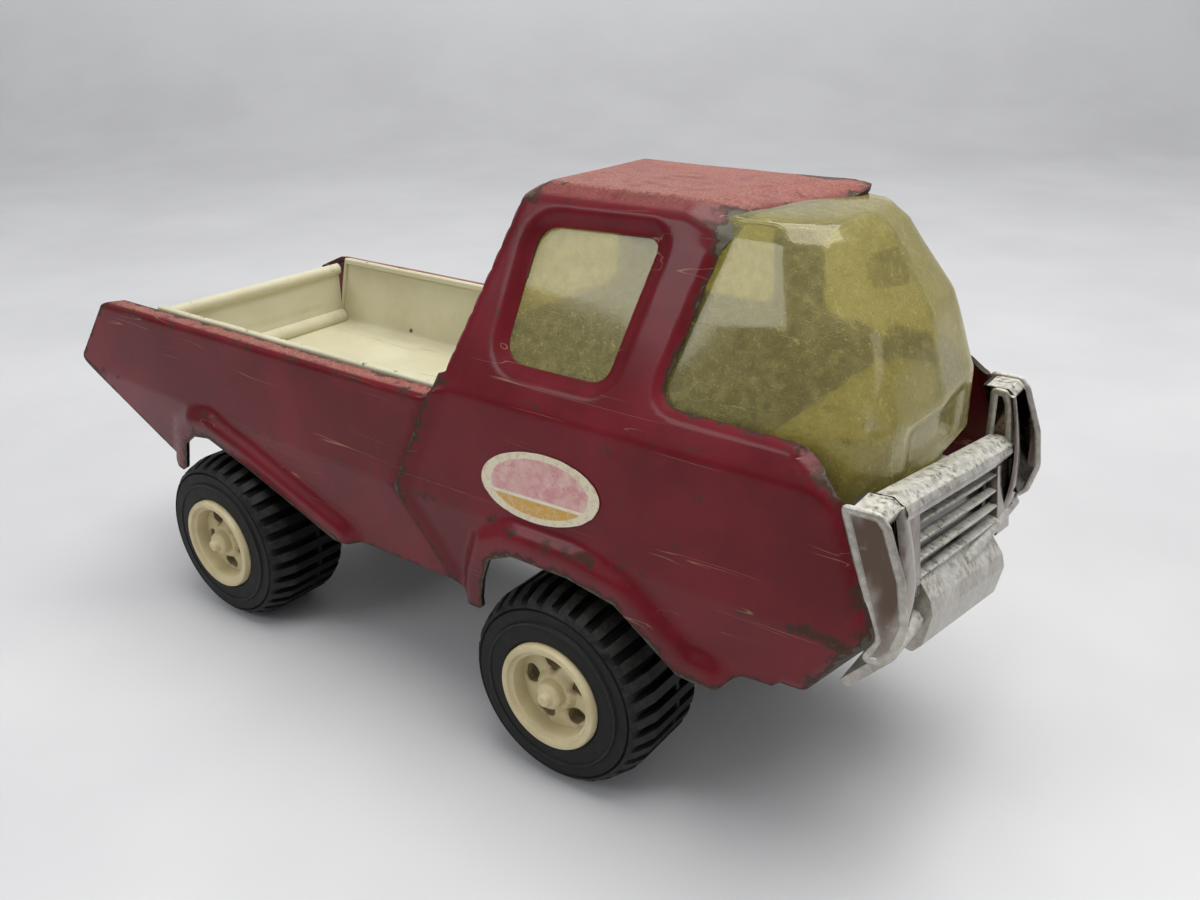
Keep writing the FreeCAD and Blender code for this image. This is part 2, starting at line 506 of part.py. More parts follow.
def make_interior():
    floor = box("tray_floor", ("cab_eave_x - 3", "-tray_half", "tray_floor_z - 1.2"),
                ("nose_top_x - 1.5", "tray_half", "tray_floor_z"))
    dash = prism("tray_dash", "XZ_Plane", [
        ("84", "tray_floor_z - 0.6"), ("85", "dash_top_z - 5"), ("88", "dash_top_z"),
        ("98", "dash_top_z"), ("102.5", "dash_top_z - 6"), ("103.5", "tray_floor_z - 0.6")],
        "52")
    pocket = prism("dash_hollow", "XZ_Plane", [
        ("85.4", "tray_floor_z - 3"), ("86.4", "dash_top_z - 5.6"), ("88.6", "dash_top_z - 1.4"),
        ("97.4", "dash_top_z - 1.4"), ("101.1", "dash_top_z - 6.6"), ("102.1", "tray_floor_z - 3")],
        "49")
    posts = []
    for index, x in enumerate(SCREW_PLACES):
        posts.append(rod("tray_post_%d" % index, "3.4", (x, "0", "chassis_top_z + 0.05"),
                         "tray_floor_z - chassis_top_z - 0.5", ALONG_Z))
    bores = []
    for index, x in enumerate(SCREW_PLACES):
        bores.append(rod("tray_bore_%d" % index, "1.25 + running_gap", (x, "0", "chassis_top_z - 1"),
                         "6", ALONG_Z))
    keep(cut("tray", fuse("tray_sheets", floor, dash, *posts), pocket, *bores), "interior_tray")
    back = [("3", "tray_floor_z + 0.05"), ("3", "seat_top_z - 5"), ("5", "seat_top_z - 1.5"),
            ("8.5", "seat_top_z"), ("17", "seat_top_z"), ("20.5", "seat_top_z - 1.5"),
            ("22.5", "seat_top_z - 5"), ("23.5", "tray_floor_z + 0.05")]
    for side, sign in (("left", ""), ("right", "-")):
        outline = [("%s(%s)" % (sign, across), height) for across, height in back]
        chair_back = prism("seat_back_" + side, "YZ_Plane", outline, "6")
        chair_back.setExpression("Placement.Base.x", bound("cab_eave_x + 12"))
        edge = "3.5" if side == "left" else "-23"
        far_edge = "23" if side == "left" else "-3.5"
        cushion = box("seat_cushion_" + side, ("cab_eave_x + 13", edge, "tray_floor_z + 0.05"),
                      ("cab_eave_x + 34", far_edge, "tray_floor_z + 8"))
        keep(fuse("seat_solid_" + side, chair_back, cushion), "seat_" + side)


def make_labels():
    lean = math.degrees(math.atan2(number("crease_half - belt_half"), number("belt_z - crease_z")))
    for side, sign, turn in (("right", "-", 90 - lean), ("left", "", -90 + lean)):
        oval = doc.addObject("Part::Ellipse", "label_oval_" + side)
        oval.setExpression("MajorRadius", bound("0.5 * label_length"))
        oval.setExpression("MinorRadius", bound("0.5 * label_height"))
        sheet = doc.addObject("Part::Extrusion", "label_sheet_" + side)
        sheet.Base = oval
        sheet.Dir = FreeCAD.Vector(0, 0, 1)
        sheet.Solid = True
        sheet.setExpression("LengthFwd", bound("label_sheet"))
        sheet.Placement = FreeCAD.Placement(
            FreeCAD.Vector(0, 0, 0), FreeCAD.Rotation(FreeCAD.Vector(1, 0, 0), turn))
        across = ("crease_half - (crease_half - belt_half) * (label_z - crease_z)"
                  " / (belt_z - crease_z) + 0.02")
        sheet.setExpression("Placement.Base.x", bound("label_x"))
        sheet.setExpression("Placement.Base.y", bound("%s(%s)" % (sign, across)))
        sheet.setExpression("Placement.Base.z", bound("label_z"))
        keep(sheet, "label_" + side)


make_cab()
make_bed()
make_liner()
make_tailgate()
make_chassis()
make_fasteners()
make_axles()
make_wheels()
make_glazing()
make_grille()
make_interior()
make_labels()
doc.recompute()

problems = [item.Name for item in doc.Objects
            if "Invalid" in item.State or "Error" in item.State]
for part in SUB_PARTS:
    if part.Shape.isNull() or not part.Shape.isValid():
        problems.append(part.Label)
if problems:
    raise RuntimeError("failed objects: " + ", ".join(problems))

os.makedirs("parts", exist_ok=True)
for part in SUB_PARTS:
    part.Shape.exportStep("parts/%s.step" % part.Label)
    print("%-22s solids %d volume %.0f" % (part.Label, len(part.Shape.Solids), part.Shape.Volume))
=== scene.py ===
import json
import math

import bmesh
import bpy
import numpy as np
from mathutils import Matrix, Vector, noise
from mathutils.geometry import delaunay_2d_cdt


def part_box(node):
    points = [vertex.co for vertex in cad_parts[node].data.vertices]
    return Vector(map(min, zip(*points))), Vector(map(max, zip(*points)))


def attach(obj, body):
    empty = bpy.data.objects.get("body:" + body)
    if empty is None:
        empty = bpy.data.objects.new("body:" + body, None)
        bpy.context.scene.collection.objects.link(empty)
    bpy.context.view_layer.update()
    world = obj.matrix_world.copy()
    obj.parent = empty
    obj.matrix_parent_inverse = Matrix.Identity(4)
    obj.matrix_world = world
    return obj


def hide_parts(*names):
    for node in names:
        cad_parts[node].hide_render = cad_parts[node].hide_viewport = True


# Looks of a worn push along toy pickup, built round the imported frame.
# Shapes are worked out in millimetres in the frame's axes (+X front, +Y left, +Z up) and stored in metres.

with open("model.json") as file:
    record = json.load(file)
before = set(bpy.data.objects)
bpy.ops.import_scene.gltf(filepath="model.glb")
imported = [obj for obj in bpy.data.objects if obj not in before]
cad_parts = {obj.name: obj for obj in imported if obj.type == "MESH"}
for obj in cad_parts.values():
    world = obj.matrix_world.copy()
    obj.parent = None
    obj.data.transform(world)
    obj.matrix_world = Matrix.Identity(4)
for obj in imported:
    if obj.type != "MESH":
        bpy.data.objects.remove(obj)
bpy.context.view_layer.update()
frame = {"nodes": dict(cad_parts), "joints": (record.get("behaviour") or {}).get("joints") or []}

MM = 0.001


def node_box(node):
    """A CAD node's lowest and highest corner in millimetres."""
    low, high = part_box(node)
    return low / MM, high / MM


# --- places read from the frame ---

ROOF_Z = node_box("cab_shell")[1].z
LINER_LOW, LINER_HIGH = node_box("bed_liner")
GATE_HIGH = node_box("tailgate")[1]
GRILLE_HIGH = node_box("grille_bumper")[1]
TRAY_LOW, TRAY_HIGH = node_box("interior_tray")
SEAT_LOW, SEAT_HIGH = node_box("seat_left")
JOINT_AT = {joint["name"]: Vector(joint["pos_m"]) / MM for joint in frame["joints"]}
FRONT_AXLE_X = JOINT_AT["wheel_front_left_spin"].x
REAR_AXLE_X = JOINT_AT["wheel_rear_left_spin"].x
AXLE_Z = JOINT_AT["wheel_front_left_spin"].z
GATE_PIN = JOINT_AT["tailgate_hinge"]
STEEL, THIN_SHEET = 1.0, 0.8


# --- curves and outlines ---

def rounded(points, radii, closed=False, steps=6):
    """Polyline whose corners are replaced by short arcs; radii is one number or one per point."""
    points = [Vector(p) for p in points]
    if not hasattr(radii, "__len__"):
        radii = [radii] * len(points)
    result = []
    count = len(points)
    for index, point in enumerate(points):
        if not closed and index in (0, count - 1) or radii[index] == 0:
            result.append(point)
            continue
        before = points[index - 1] - point
        after = points[(index + 1) % count] - point
        angle = before.angle(after)
        reach = radii[index] / max(math.tan(angle / 2), 1e-3)
        reach = min(reach, 0.48 * before.length, 0.48 * after.length)
        start = point + before.normalized() * reach
        end = point + after.normalized() * reach
        for step in range(steps + 1):
            t = step / steps
            result.append(start * (1 - t) ** 2 + point * 2 * t * (1 - t) + end * t * t)
    return result


def dense(points, spacing, closed=False):
    """The same polyline with no stretch longer than spacing."""
    result = []
    last = len(points) if closed else len(points) - 1
    for index in range(last):
        start, end = points[index], points[(index + 1) % len(points)]
        pieces = max(1, math.ceil((end - start).length / spacing))
        result += [start.lerp(end, step / pieces) for step in range(pieces)]
    if not closed:
        result.append(points[-1])
    return result


def rectangle(u0, v0, u1, v1):
    return [(u0, v0), (u1, v0), (u1, v1), (u0, v1)]


def around(count):
    """Evenly spaced angles of a full turn."""
    return [2 * math.pi * k / count for k in range(count)]


def span(sign, near, far):
    """Lowest and highest Y of a stretch on the left (sign 1) or the right (sign -1)."""
    return sorted((sign * near, sign * far))


def moved(x, y, z):
    return Matrix.Translation(Vector((x, y, z)) * MM)


def turned(degrees, axis):
    return Matrix.Rotation(math.radians(degrees), 4, axis)


def as_array(points):
    return np.array([tuple(p) for p in points], float)


def distance_to(points, line, closed=False):
    """Distance from each 2-D point to a polyline."""
    start = np.array(line, float)
    end = np.roll(start, -1, axis=0)
    if not closed:
        start, end = start[:-1], end[:-1]
    best = np.full(len(points), 1e9)
    for a, b in zip(start, end):
        along = b - a
        length = max(along @ along, 1e-9)
        t = np.clip(((points - a) @ along) / length, 0, 1)
        best = np.minimum(best, np.linalg.norm(points - a - t[:, None] * along, axis=1))
    return best


def inside(points, loop):
    """Even-odd test of 2-D points against a closed loop."""
    loop = np.array(loop, float)
    x, y = points[:, 0], points[:, 1]
    result = np.zeros(len(points), bool)
    for (x0, y0), (x1, y1) in zip(loop, np.roll(loop, -1, axis=0)):
        crossing = (y0 > y) != (y1 > y)
        rise = y1 - y0 if abs(y1 - y0) > 1e-12 else 1e-12
        result ^= crossing & (x < x0 + (y - y0) * (x1 - x0) / rise)
    return result


def smooth_step(value):
    value = np.clip(value, 0, 1)
    return value * value * (3 - 2 * value)


def soft_noise(points, size, seed):
    """Smooth noise from -1 to 1 at each 2-D or 3-D point."""
    shift = Vector((seed * 17.3, seed * 5.1, seed * 9.7))
    return np.array([noise.noise(Vector((p[0], p[1], p[2] if len(p) > 2 else 0)) / size + shift)
                     for p in points])


# --- mesh making ---

def make_object(name, vertices, faces, wear=None, sharp=38):
    """Mesh object from millimetre vertices, smooth but sharp at folds tighter than the angle."""
    mesh = bpy.data.meshes.new(name)
    mesh.from_pydata([tuple(v) for v in np.array(vertices, float) * MM], [], faces)
    if wear is not None:
        attribute = mesh.attributes.new("wear", "FLOAT", "POINT")
        attribute.data.foreach_set("value", np.array(wear, np.float32))
    work = bmesh.new()
    work.from_mesh(mesh)
    bmesh.ops.recalc_face_normals(work, faces=work.faces)
    work.to_mesh(mesh)
    work.free()
    mesh.shade_smooth()
    mesh.set_sharp_from_angle(angle=math.radians(sharp))
    obj = bpy.data.objects.new(name, mesh)
    bpy.context.scene.collection.objects.link(obj)
    return obj


def triangulated(outline, holes, spacing):
    """Triangles filling a 2-D outline with holes, with an even grid of points inside."""
    loops = [dense([Vector(p) for p in loop], min(spacing), closed=True) for loop in [outline] + holes]
    arrays = [as_array(loop) for loop in loops]
    low, high = arrays[0].min(0), arrays[0].max(0)
    columns = np.arange(low[0] + spacing[0] / 2, high[0], spacing[0])
    rows = np.arange(low[1] + spacing[1] / 2, high[1], spacing[1])
    grid = np.array([(u, v) for u in columns for v in rows])
    keep = inside(grid, arrays[0])
    for loop in arrays:
        keep &= distance_to(grid, loop, closed=True) > 0.45 * min(spacing)
    for loop in arrays[1:]:
        keep &= ~inside(grid, loop)
    points = [Vector(p) for p in grid[keep]]
    edges = []
    for loop in arrays:
        first = len(points)
        points += [Vector(p) for p in loop]
        edges += [(first + i, first + (i + 1) % len(loop)) for i in range(len(loop))]
    found, _, faces, *_ = delaunay_2d_cdt(points, edges, [], 0, 1e-4)
    flat = as_array(found)
    centres = np.array([flat[list(face)].mean(0) for face in faces])
    good = inside(centres, arrays[0])
    for loop in arrays[1:]:
        good &= ~inside(centres, loop)
    return flat, [list(face) for face, ok in zip(faces, good) if ok], arrays


def thickened(name, vertices, faces, thickness, wear=None, sharp=38):
    """Closed solid from an open surface, thickness added against its normals."""
    mesh = bpy.data.meshes.new(name + "_skin")
    mesh.from_pydata([tuple(v) for v in vertices], [], faces)
    normals = np.array([tuple(v.normal) for v in mesh.vertices])
    used = np.zeros(len(vertices), bool)
    edge_use = {}
    for face in faces:
        for a, b in zip(face, face[1:] + face[:1]):
            used[a] = True
            edge_use.setdefault((min(a, b), max(a, b)), []).append((a, b))
    bpy.data.meshes.remove(mesh)
    order = np.cumsum(used) - 1
    count = int(used.sum())
    outer = np.array(vertices)[used]
    inner = outer - normals[used] * thickness
    top = [[int(order[i]) for i in face] for face in faces]
    bottom = [[i + count for i in reversed(face)] for face in top]
    rims = []
    for directed in edge_use.values():
        if len(directed) == 1:
            a, b = (int(order[i]) for i in directed[0])
            rims.append([b, a, a + count, b + count])
    both = None if wear is None else np.concatenate([np.array(wear)[used]] * 2)
    return make_object(name, np.concatenate([outer, inner]), top + bottom + rims, both, sharp)


def grid_surface(rings, close_u=False, close_v=False):
    """Vertices and quads of a grid given as a list of equally long rings."""
    rows, columns = len(rings), len(rings[0])
    vertices = [p for ring in rings for p in ring]
    faces = []
    for i in range(rows if close_v else rows - 1):
        for j in range(columns if close_u else columns - 1):
            a, b = i * columns + j, i * columns + (j + 1) % columns
            c, d = (i + 1) % rows * columns + (j + 1) % columns, (i + 1) % rows * columns + j
            faces.append([a, b, c, d])
    return vertices, faces


def tube_along(ring_count, ring_at, close_v=False):
    """Vertices and quads of a tube whose ring number k is ring_at(k)."""
    return grid_surface([ring_at(k) for k in range(ring_count)], close_u=True, close_v=close_v)


def extruded(name, outline, low, high, bevel=0.3, axis="y", segments=3):
    """Outline in the two other axes pushed from low to high along one axis, with rounded edges."""
    place = {"y": lambda u, v, w: (u, w, v), "x": lambda u, v, w: (w, u, v)}[axis]
    count = len(outline)
    vertices = [place(u, v, low) for u, v in outline] + [place(u, v, high) for u, v in outline]
    faces = [list(range(count))[::-1], list(range(count, 2 * count))]
    faces += [[i, (i + 1) % count, (i + 1) % count + count, i + count] for i in range(count)]
    obj = make_object(name, vertices, faces, sharp=30)
    if bevel:
        rounding = obj.modifiers.new("rounding", "BEVEL")
        rounding.width = bevel * MM
        rounding.segments = segments
        rounding.limit_method = "ANGLE"
        rounding.angle_limit = math.radians(22)
        apply_modifiers(obj)
    return obj


def apply_modifiers(obj):
    """Swaps an object's mesh for the result of its modifiers."""
    graph = bpy.context.evaluated_depsgraph_get()
    final = bpy.data.meshes.new_from_object(obj.evaluated_get(graph))
    obj.modifiers.clear()
    obj.data = final


def joined(name, pieces):
    """One object from several."""
    work = bmesh.new()
    for piece in pieces:
        piece.data.transform(piece.matrix_world)
        work.from_mesh(piece.data)
        bpy.data.objects.remove(piece)
    mesh = bpy.data.meshes.new(name)
    work.to_mesh(mesh)
    work.free()
    obj = bpy.data.objects.new(name, mesh)
    bpy.context.scene.collection.objects.link(obj)
    return obj


def revolved(name, profile, turns=96, close=True):
    """Profile of (radius, height) turned about Z."""
    rings = [[(r * math.cos(a), r * math.sin(a), z) for a in around(turns)] for r, z in profile]
    vertices, faces = grid_surface(rings, close_u=True, close_v=close)
    return make_object(name, vertices, faces, sharp=34)


def finish_piece(obj, body, slot, material, node):
    """Gives a piece its material and body, and hides the CAD node it stands for; slot is not used."""
    obj.data.materials.clear()
    obj.data.materials.append(material)
    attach(obj, body)
    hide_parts(node)


# --- material making ---

class Signal:
    """A shader value that adds, subtracts and multiplies like a number."""

    def __init__(self, nodes, socket):
        self.nodes = nodes
        self.socket = socket

    def __add__(self, other):
        return self.nodes.math("ADD", self, other)

    def __sub__(self, other):
        return self.nodes.math("SUBTRACT", self, other)

    def __rsub__(self, other):
        return self.nodes.math("SUBTRACT", other, self)

    def __mul__(self, other):
        return self.nodes.math("MULTIPLY", self, other)

    def clamped(self):
        self.socket.node.use_clamp = True
        return self


class Nodes:
    """Small helper that adds shader nodes and links them by value or signal."""

    def __init__(self, name):
        self.material = bpy.data.materials.new(name)
        self.material.use_nodes = True
        self.tree = self.material.node_tree
        self.tree.nodes.clear()
        self.output = self.tree.nodes.new("ShaderNodeOutputMaterial")
        self.place = self.out(self.add("TexCoord"), "Object")

    def add(self, kind, **settings):
        node = self.tree.nodes.new("ShaderNode" + kind)
        for key, value in settings.items():
            setattr(node, key, value)
        return node

    def out(self, node, which=0):
        return Signal(self, node.outputs[which])

    def feed(self, node, **inputs):
        """Links or sets inputs by name; an underscore stands for a space."""
        for key, value in inputs.items():
            self.feed_socket(node.inputs[key.replace("_", " ")], value)
        return node

    def feed_socket(self, socket, value):
        if isinstance(value, Signal):
            self.tree.links.new(value.socket, socket)
        elif socket.type == "RGBA" and len(value) == 3:
            socket.default_value = (*value, 1)
        else:
            socket.default_value = value

    def math(self, operation, first, second=0.5):
        node = self.add("Math", operation=operation)
        self.feed_socket(node.inputs[0], first)
        self.feed_socket(node.inputs[1], second)
        return self.out(node)

    def most(self, first, *others):
        """The largest of several values."""
        for other in others:
            first = self.math("MAXIMUM", first, other)
        return first

    def noise(self, size, detail=4, rough=0.6, stretch=(1, 1, 1), turn=(0, 0, 0), shift=(0, 0, 0)):
        """Noise whose features are about size millimetres across."""
        mapping = self.feed(self.add("Mapping"), Vector=self.place, Location=shift,
                            Scale=[1 / (size * MM) * s for s in stretch],
                            Rotation=[math.radians(a) for a in turn])
        texture = self.feed(self.add("TexNoise"), Scale=1, Detail=detail, Roughness=rough,
                            Vector=self.out(mapping))
        return self.out(texture, "Fac")

    def ramp(self, value, start, end):
        """0 below start, 1 above end; start may be the larger one."""
        low, high, first, last = (start, end, 0, 1) if start < end else (end, start, 1, 0)
        node = self.feed(self.add("MapRange", interpolation_type="SMOOTHSTEP"), Value=value,
                         From_Min=low, From_Max=high, To_Min=first, To_Max=last)
        return self.out(node)

    def mix(self, factor, first, second):
        node = self.add("Mix", data_type="RGBA")
        for index, value in ((0, factor), (6, first), (7, second)):
            self.feed_socket(node.inputs[index], value)
        return self.out(node, 2)

    def mottled(self, size, detail, first, second):
        """Two colours blended in soft patches."""
        return self.mix(self.ramp(self.noise(size, detail), 0.3, 0.7), first, second)

    def scratches(self, size, turn, thinness=0.035, seed=0.0):
        """Sparse fine lines along one direction, kept where a larger noise lets them."""
        lines = self.noise(size, 2, 0.45, (0.06, 1, 1), turn, (seed, seed, 0))
        line = self.ramp(self.math("ABSOLUTE", lines - 0.5), thinness, 0)
        patches = self.noise(size * 2.5, 1, 0.5, (0.25, 1, 1), turn, (seed * 2, 0, seed))
        return line * self.ramp(patches, 0.62, 0.66)

    # This attribute holds real wear and dust, and on some plated pieces painted shade and sheen.
    def wear(self):
        return self.out(self.add("Attribute", attribute_name="wear"), "Fac")

    def split(self, vector):
        node = self.add("SeparateXYZ")
        self.feed_socket(node.inputs[0], vector)
        return [self.out(node, axis) for axis in range(3)]

    def up(self):
        return self.split(self.out(self.add("NewGeometry"), "Normal"))[2]

    def bump(self, height, strength, depth=0.0002):
        return self.out(self.feed(self.add("Bump"), Strength=strength, Distance=depth, Height=height))

    def shader(self, **inputs):
        return self.out(self.feed(self.add("BsdfPrincipled"), **inputs))

    def surface(self, shader):
        self.feed(self.output, Surface=shader)
        return self.material

    def principled(self, **inputs):
        return self.surface(self.shader(**inputs))


def red_enamel():
    """Faded crimson enamel, dusty on top, rubbed to dark metal on its folds and edges, with a painted shadow
    along the seam where the bed meets the cab.
    """
    n = Nodes("red_enamel")
    broad, fine, speck = n.noise(24, 5), n.noise(3.5, 6, 0.7), n.noise(0.5, 3, 0.7)
    colour = n.mix(n.ramp(broad, 0.32, 0.68), (0.108, 0.004, 0.008), (0.172, 0.009, 0.017))
    dusty = (n.ramp(n.up(), 0.84, 0.995) * n.ramp(fine, 0.18, 0.55)).clamped()
    grain = n.mix(n.ramp(speck, 0.38, 0.62), (0.33, 0.125, 0.10), (0.50, 0.27, 0.20))
    colour = n.mix(dusty * 0.62, colour, grain)
    colour = n.mix(n.ramp(speck, 0.68, 0.76) * 0.3, colour, (0.40, 0.19, 0.15))
    # Real rubbing plus the painted shadow along the bed and cab seam; grime and bare metal follow this level.
    wear_and_seam_shade = n.wear() + (fine - 0.5) * 2.6
    grime = n.ramp(wear_and_seam_shade, 0.58, 0.98)
    colour = n.mix(grime * 0.85, colour, (0.040, 0.024, 0.014))
    bare = n.ramp(wear_and_seam_shade, 1.14, 1.32)
    colour = n.mix(bare, colour, (0.095, 0.085, 0.062))
    stains = n.noise(3.6, 6, 0.75, turn=(20, 0, 0))
    spots = n.ramp(stains, 0.60, 0.68) * n.ramp(n.noise(26, 2), 0.38, 0.54)
    colour = n.mix(spots * 0.85, colour, (0.045, 0.026, 0.016))
    marks = n.most(n.scratches(4.6, (0, 34, 0), 0.006), n.scratches(5.4, (0, -48, 0), 0.006, 0.7),
                   n.scratches(4.0, (0, 10, 20), 0.005, 1.9))
    colour = n.mix(marks * 0.55, colour, (0.40, 0.23, 0.13))
    rough = (broad * 0.14 + 0.24 + n.most(dusty, grime) * 0.34).clamped()
    relief = n.noise(9, 3) - (bare + marks) * 0.6
    return n.principled(Base_Color=colour, Roughness=rough, Metallic=bare * 0.4,
                        Specular_IOR_Level=0.20, Coat_Weight=0.12, Coat_Roughness=0.10,
                        Normal=n.bump(relief, 0.3))


def cream_enamel():
    """Chalky cream enamel, chipped dark in places, with grey rubbing; the same dark colour paints the shade
    inside the liner's rivet hole.
    """
    n = Nodes("cream_enamel")
    fine = n.noise(2.6, 6, 0.7)
    colour = n.mottled(26, 5, (0.55, 0.51, 0.34), (0.645, 0.61, 0.44))
    rub = n.ramp(fine, 0.56, 0.7) * n.ramp(n.noise(16, 3), 0.45, 0.62)
    colour = n.mix(rub * 0.5, colour, (0.46, 0.42, 0.33))
    # Chipped places, and the painted shade of the liner's rivet hole.
    chips_and_hole_shade = n.ramp(n.wear() + (fine - 0.5) * 2.6, 0.86, 1.04)
    colour = n.mix(chips_and_hole_shade, colour, (0.10, 0.065, 0.04))
    marks = n.most(n.scratches(4.0, (12, 0, 5), 0.014), n.scratches(5.0, (0, 10, 62), 0.013, 0.9))
    colour = n.mix(marks * 0.6, colour, (0.30, 0.26, 0.20))
    return n.principled(Base_Color=colour, Roughness=fine * 0.25 + 0.42,
                        Normal=n.bump(n.noise(7, 3) - chips_and_hole_shade, 0.35))


def clear_plastic():
    """Yellowed clear moulding, hazed by fine scratches and dust."""
    n = Nodes("clear_plastic")
    fine, speck = n.noise(2.0, 6, 0.75), n.noise(0.55, 3, 0.8)
    tint = n.mottled(30, 3, (0.87, 0.80, 0.38), (0.81, 0.73, 0.28))
    marks = n.most(n.scratches(2.6, (25, 10, 40), 0.009), n.scratches(3.2, (70, 35, 10), 0.009, 0.6),
                   n.scratches(2.2, (-30, 60, 80), 0.008, 1.4))
    dust = n.ramp(speck, 0.54, 0.68) * 0.55
    haze = n.ramp(fine, 0.40, 0.75) * 0.26 + 0.22
    haze = n.most(haze, n.most(marks * 0.55, dust)).clamped()
    glass = n.shader(Base_Color=tint, Transmission_Weight=1.0, IOR=1.46, Roughness=fine * 0.05 + 0.06,
                     Normal=n.bump(n.noise(14, 2), 0.15))
    film = n.shader(Base_Color=(0.50, 0.44, 0.16), Roughness=0.35)
    blend = n.add("MixShader")
    for socket, value in zip(blend.inputs, (haze, glass, film)):
        n.feed_socket(socket, value)
    return n.surface(n.out(blend))


def plated_plastic():
    """Tarnished plating; faces turned up are painted pale and the sides darker and pinkish, as painted
    reflection; a piece marked 1 turns dark as painted shade, one marked -1 milky and pale as painted sheen.
    """
    n = Nodes("plated_plastic")
    fine, pits, wear = n.noise(1.4, 6, 0.75), n.noise(0.45, 2, 0.5), n.wear()
    top = n.ramp(n.up(), 0.0, 0.75)
    blotches = n.ramp(n.noise(7, 6, 0.75), 0.58, 0.66) * 0.3
    milky = n.most(top * n.ramp(fine, 0.26, 0.52), blotches).clamped()
    # Painted sheen: a piece marked below zero turns milky and pale.
    milky = n.most(milky, wear * -1.0).clamped()
    pitted = n.ramp(pits, 0.66, 0.74) * n.ramp(n.noise(6, 3), 0.40, 0.6)
    tarnish = n.ramp(n.noise(11, 3, 0.55, (1, 1, 0.5), (15, 40, 0)), 0.38, 0.58)
    # Painted reflection: faces turned up are painted pale grey, faces turned sideways darker and pinkish, as if
    # mirroring the red body.
    painted_reflection_and_tarnish = n.mix(top, (0.30, 0.265, 0.235), (0.74, 0.73, 0.71))
    painted_reflection_and_tarnish = n.mix(tarnish, painted_reflection_and_tarnish, (0.105, 0.075, 0.058))
    chalk = n.mix(n.ramp(fine, 0.35, 0.65), (0.47, 0.45, 0.38), (0.70, 0.69, 0.62))
    colour = n.mix(milky, painted_reflection_and_tarnish, chalk)
    colour = n.mix(pitted * 0.5, colour, (0.20, 0.17, 0.12))
    # Painted shade: a piece marked above zero turns dark.
    colour = n.mix(wear, colour, (0.020, 0.018, 0.013))
    return n.principled(Base_Color=colour, Roughness=milky * 0.45 + 0.08,
                        Metallic=1.0 - n.most(milky, pitted) * 0.75,
                        Normal=n.bump(n.noise(5, 3) - pitted * 0.4, 0.35))


def hub_plastic():
    """Cream moulded plastic, yellowed, darker in its corners and round its holes, with painted shade inside the
    hub's pockets.
    """
    n = Nodes("hub_plastic")
    fine = n.noise(1.2, 5, 0.7)
    colour = n.mottled(8, 4, (0.56, 0.47, 0.26), (0.66, 0.57, 0.34))
    # Darker where marked: round the holes and in the grooves, and painted shade inside the pockets.
    dark_corners_and_pocket_shade = n.ramp(n.wear() + (fine - 0.5), 0.45, 1.1)
    colour = n.mix(dark_corners_and_pocket_shade * 0.85, colour, (0.22, 0.165, 0.085))
    colour = n.mix(n.ramp(fine, 0.68, 0.74) * 0.6, colour, (0.16, 0.11, 0.07))
    return n.principled(Base_Color=colour, Roughness=fine * 0.2 + 0.36, Subsurface_Weight=0.06,
                        Subsurface_Scale=0.002, Normal=n.bump(fine, 0.12, 0.0001))


def tyre_rubber():
    """Hard black vinyl with pale dust caught on its raised edges."""
    n = Nodes("tyre_rubber")
    fine, speck = n.noise(2.2, 6, 0.75), n.noise(0.6, 4, 0.8)
    colour = n.mottled(14, 3, (0.0035, 0.0037, 0.0037), (0.0075, 0.0078, 0.0078))
    dust = n.ramp(n.wear() + (fine - 0.5), 0.55, 1.25)
    colour = n.mix(dust * 0.45, colour, (0.125, 0.12, 0.10))
    colour = n.mix(n.ramp(speck, 0.66, 0.74) * 0.5, colour, (0.22, 0.21, 0.17))
    return n.principled(Base_Color=colour, Roughness=n.most(dust, fine) * 0.32 + 0.38,
                        Specular_IOR_Level=0.25, Normal=n.bump(fine, 0.25, 0.00015))


def label_foil(name, centre, size, tilt):
    """Blank oval label: flaking cream border, pink field, gold lower part, no words."""
    n = Nodes(name)
    x, _, z = n.split(n.place)
    dx, dz = x - centre[0] * MM, z - centre[1] * MM
    across = dx * math.cos(tilt) + dz * math.sin(tilt)
    upward = dz * math.cos(tilt) - dx * math.sin(tilt)
    u = n.math("DIVIDE", across, size[0] * MM / 2)
    v = n.math("DIVIDE", upward, size[1] * MM / 2)
    reach = n.math("SQRT", u * u + v * v)
    fine = n.noise(1.3, 5, 0.7)
    field = n.mix(n.ramp(n.noise(3, 4), 0.35, 0.7), (0.62, 0.27, 0.28), (0.74, 0.50, 0.45))
    level = v + u * 0.12
    field = n.mix(n.ramp(level, -0.34, -0.40), field, (0.62, 0.36, 0.06))
    line = n.ramp(n.math("ABSOLUTE", level + 0.34), 0.06, 0.03)
    field = n.mix(line, field, (0.80, 0.74, 0.58))
    ragged = reach + (fine - 0.5) * 0.10
    colour = n.mix(n.ramp(ragged, 0.80, 0.84), field, (0.76, 0.69, 0.50))
    flakes = n.ramp(n.noise(1.6, 6, 0.8), 0.50, 0.57) * n.ramp(reach, 0.1, 0.95)
    colour = n.mix(flakes * 0.85, colour, (0.66, 0.52, 0.38))
    colour = n.mix(n.ramp(n.noise(0.9, 3, 0.7), 0.68, 0.72), colour, (0.10, 0.05, 0.04))
    return n.principled(Base_Color=colour, Roughness=0.42, Normal=n.bump(fine, 0.3, 0.0001))


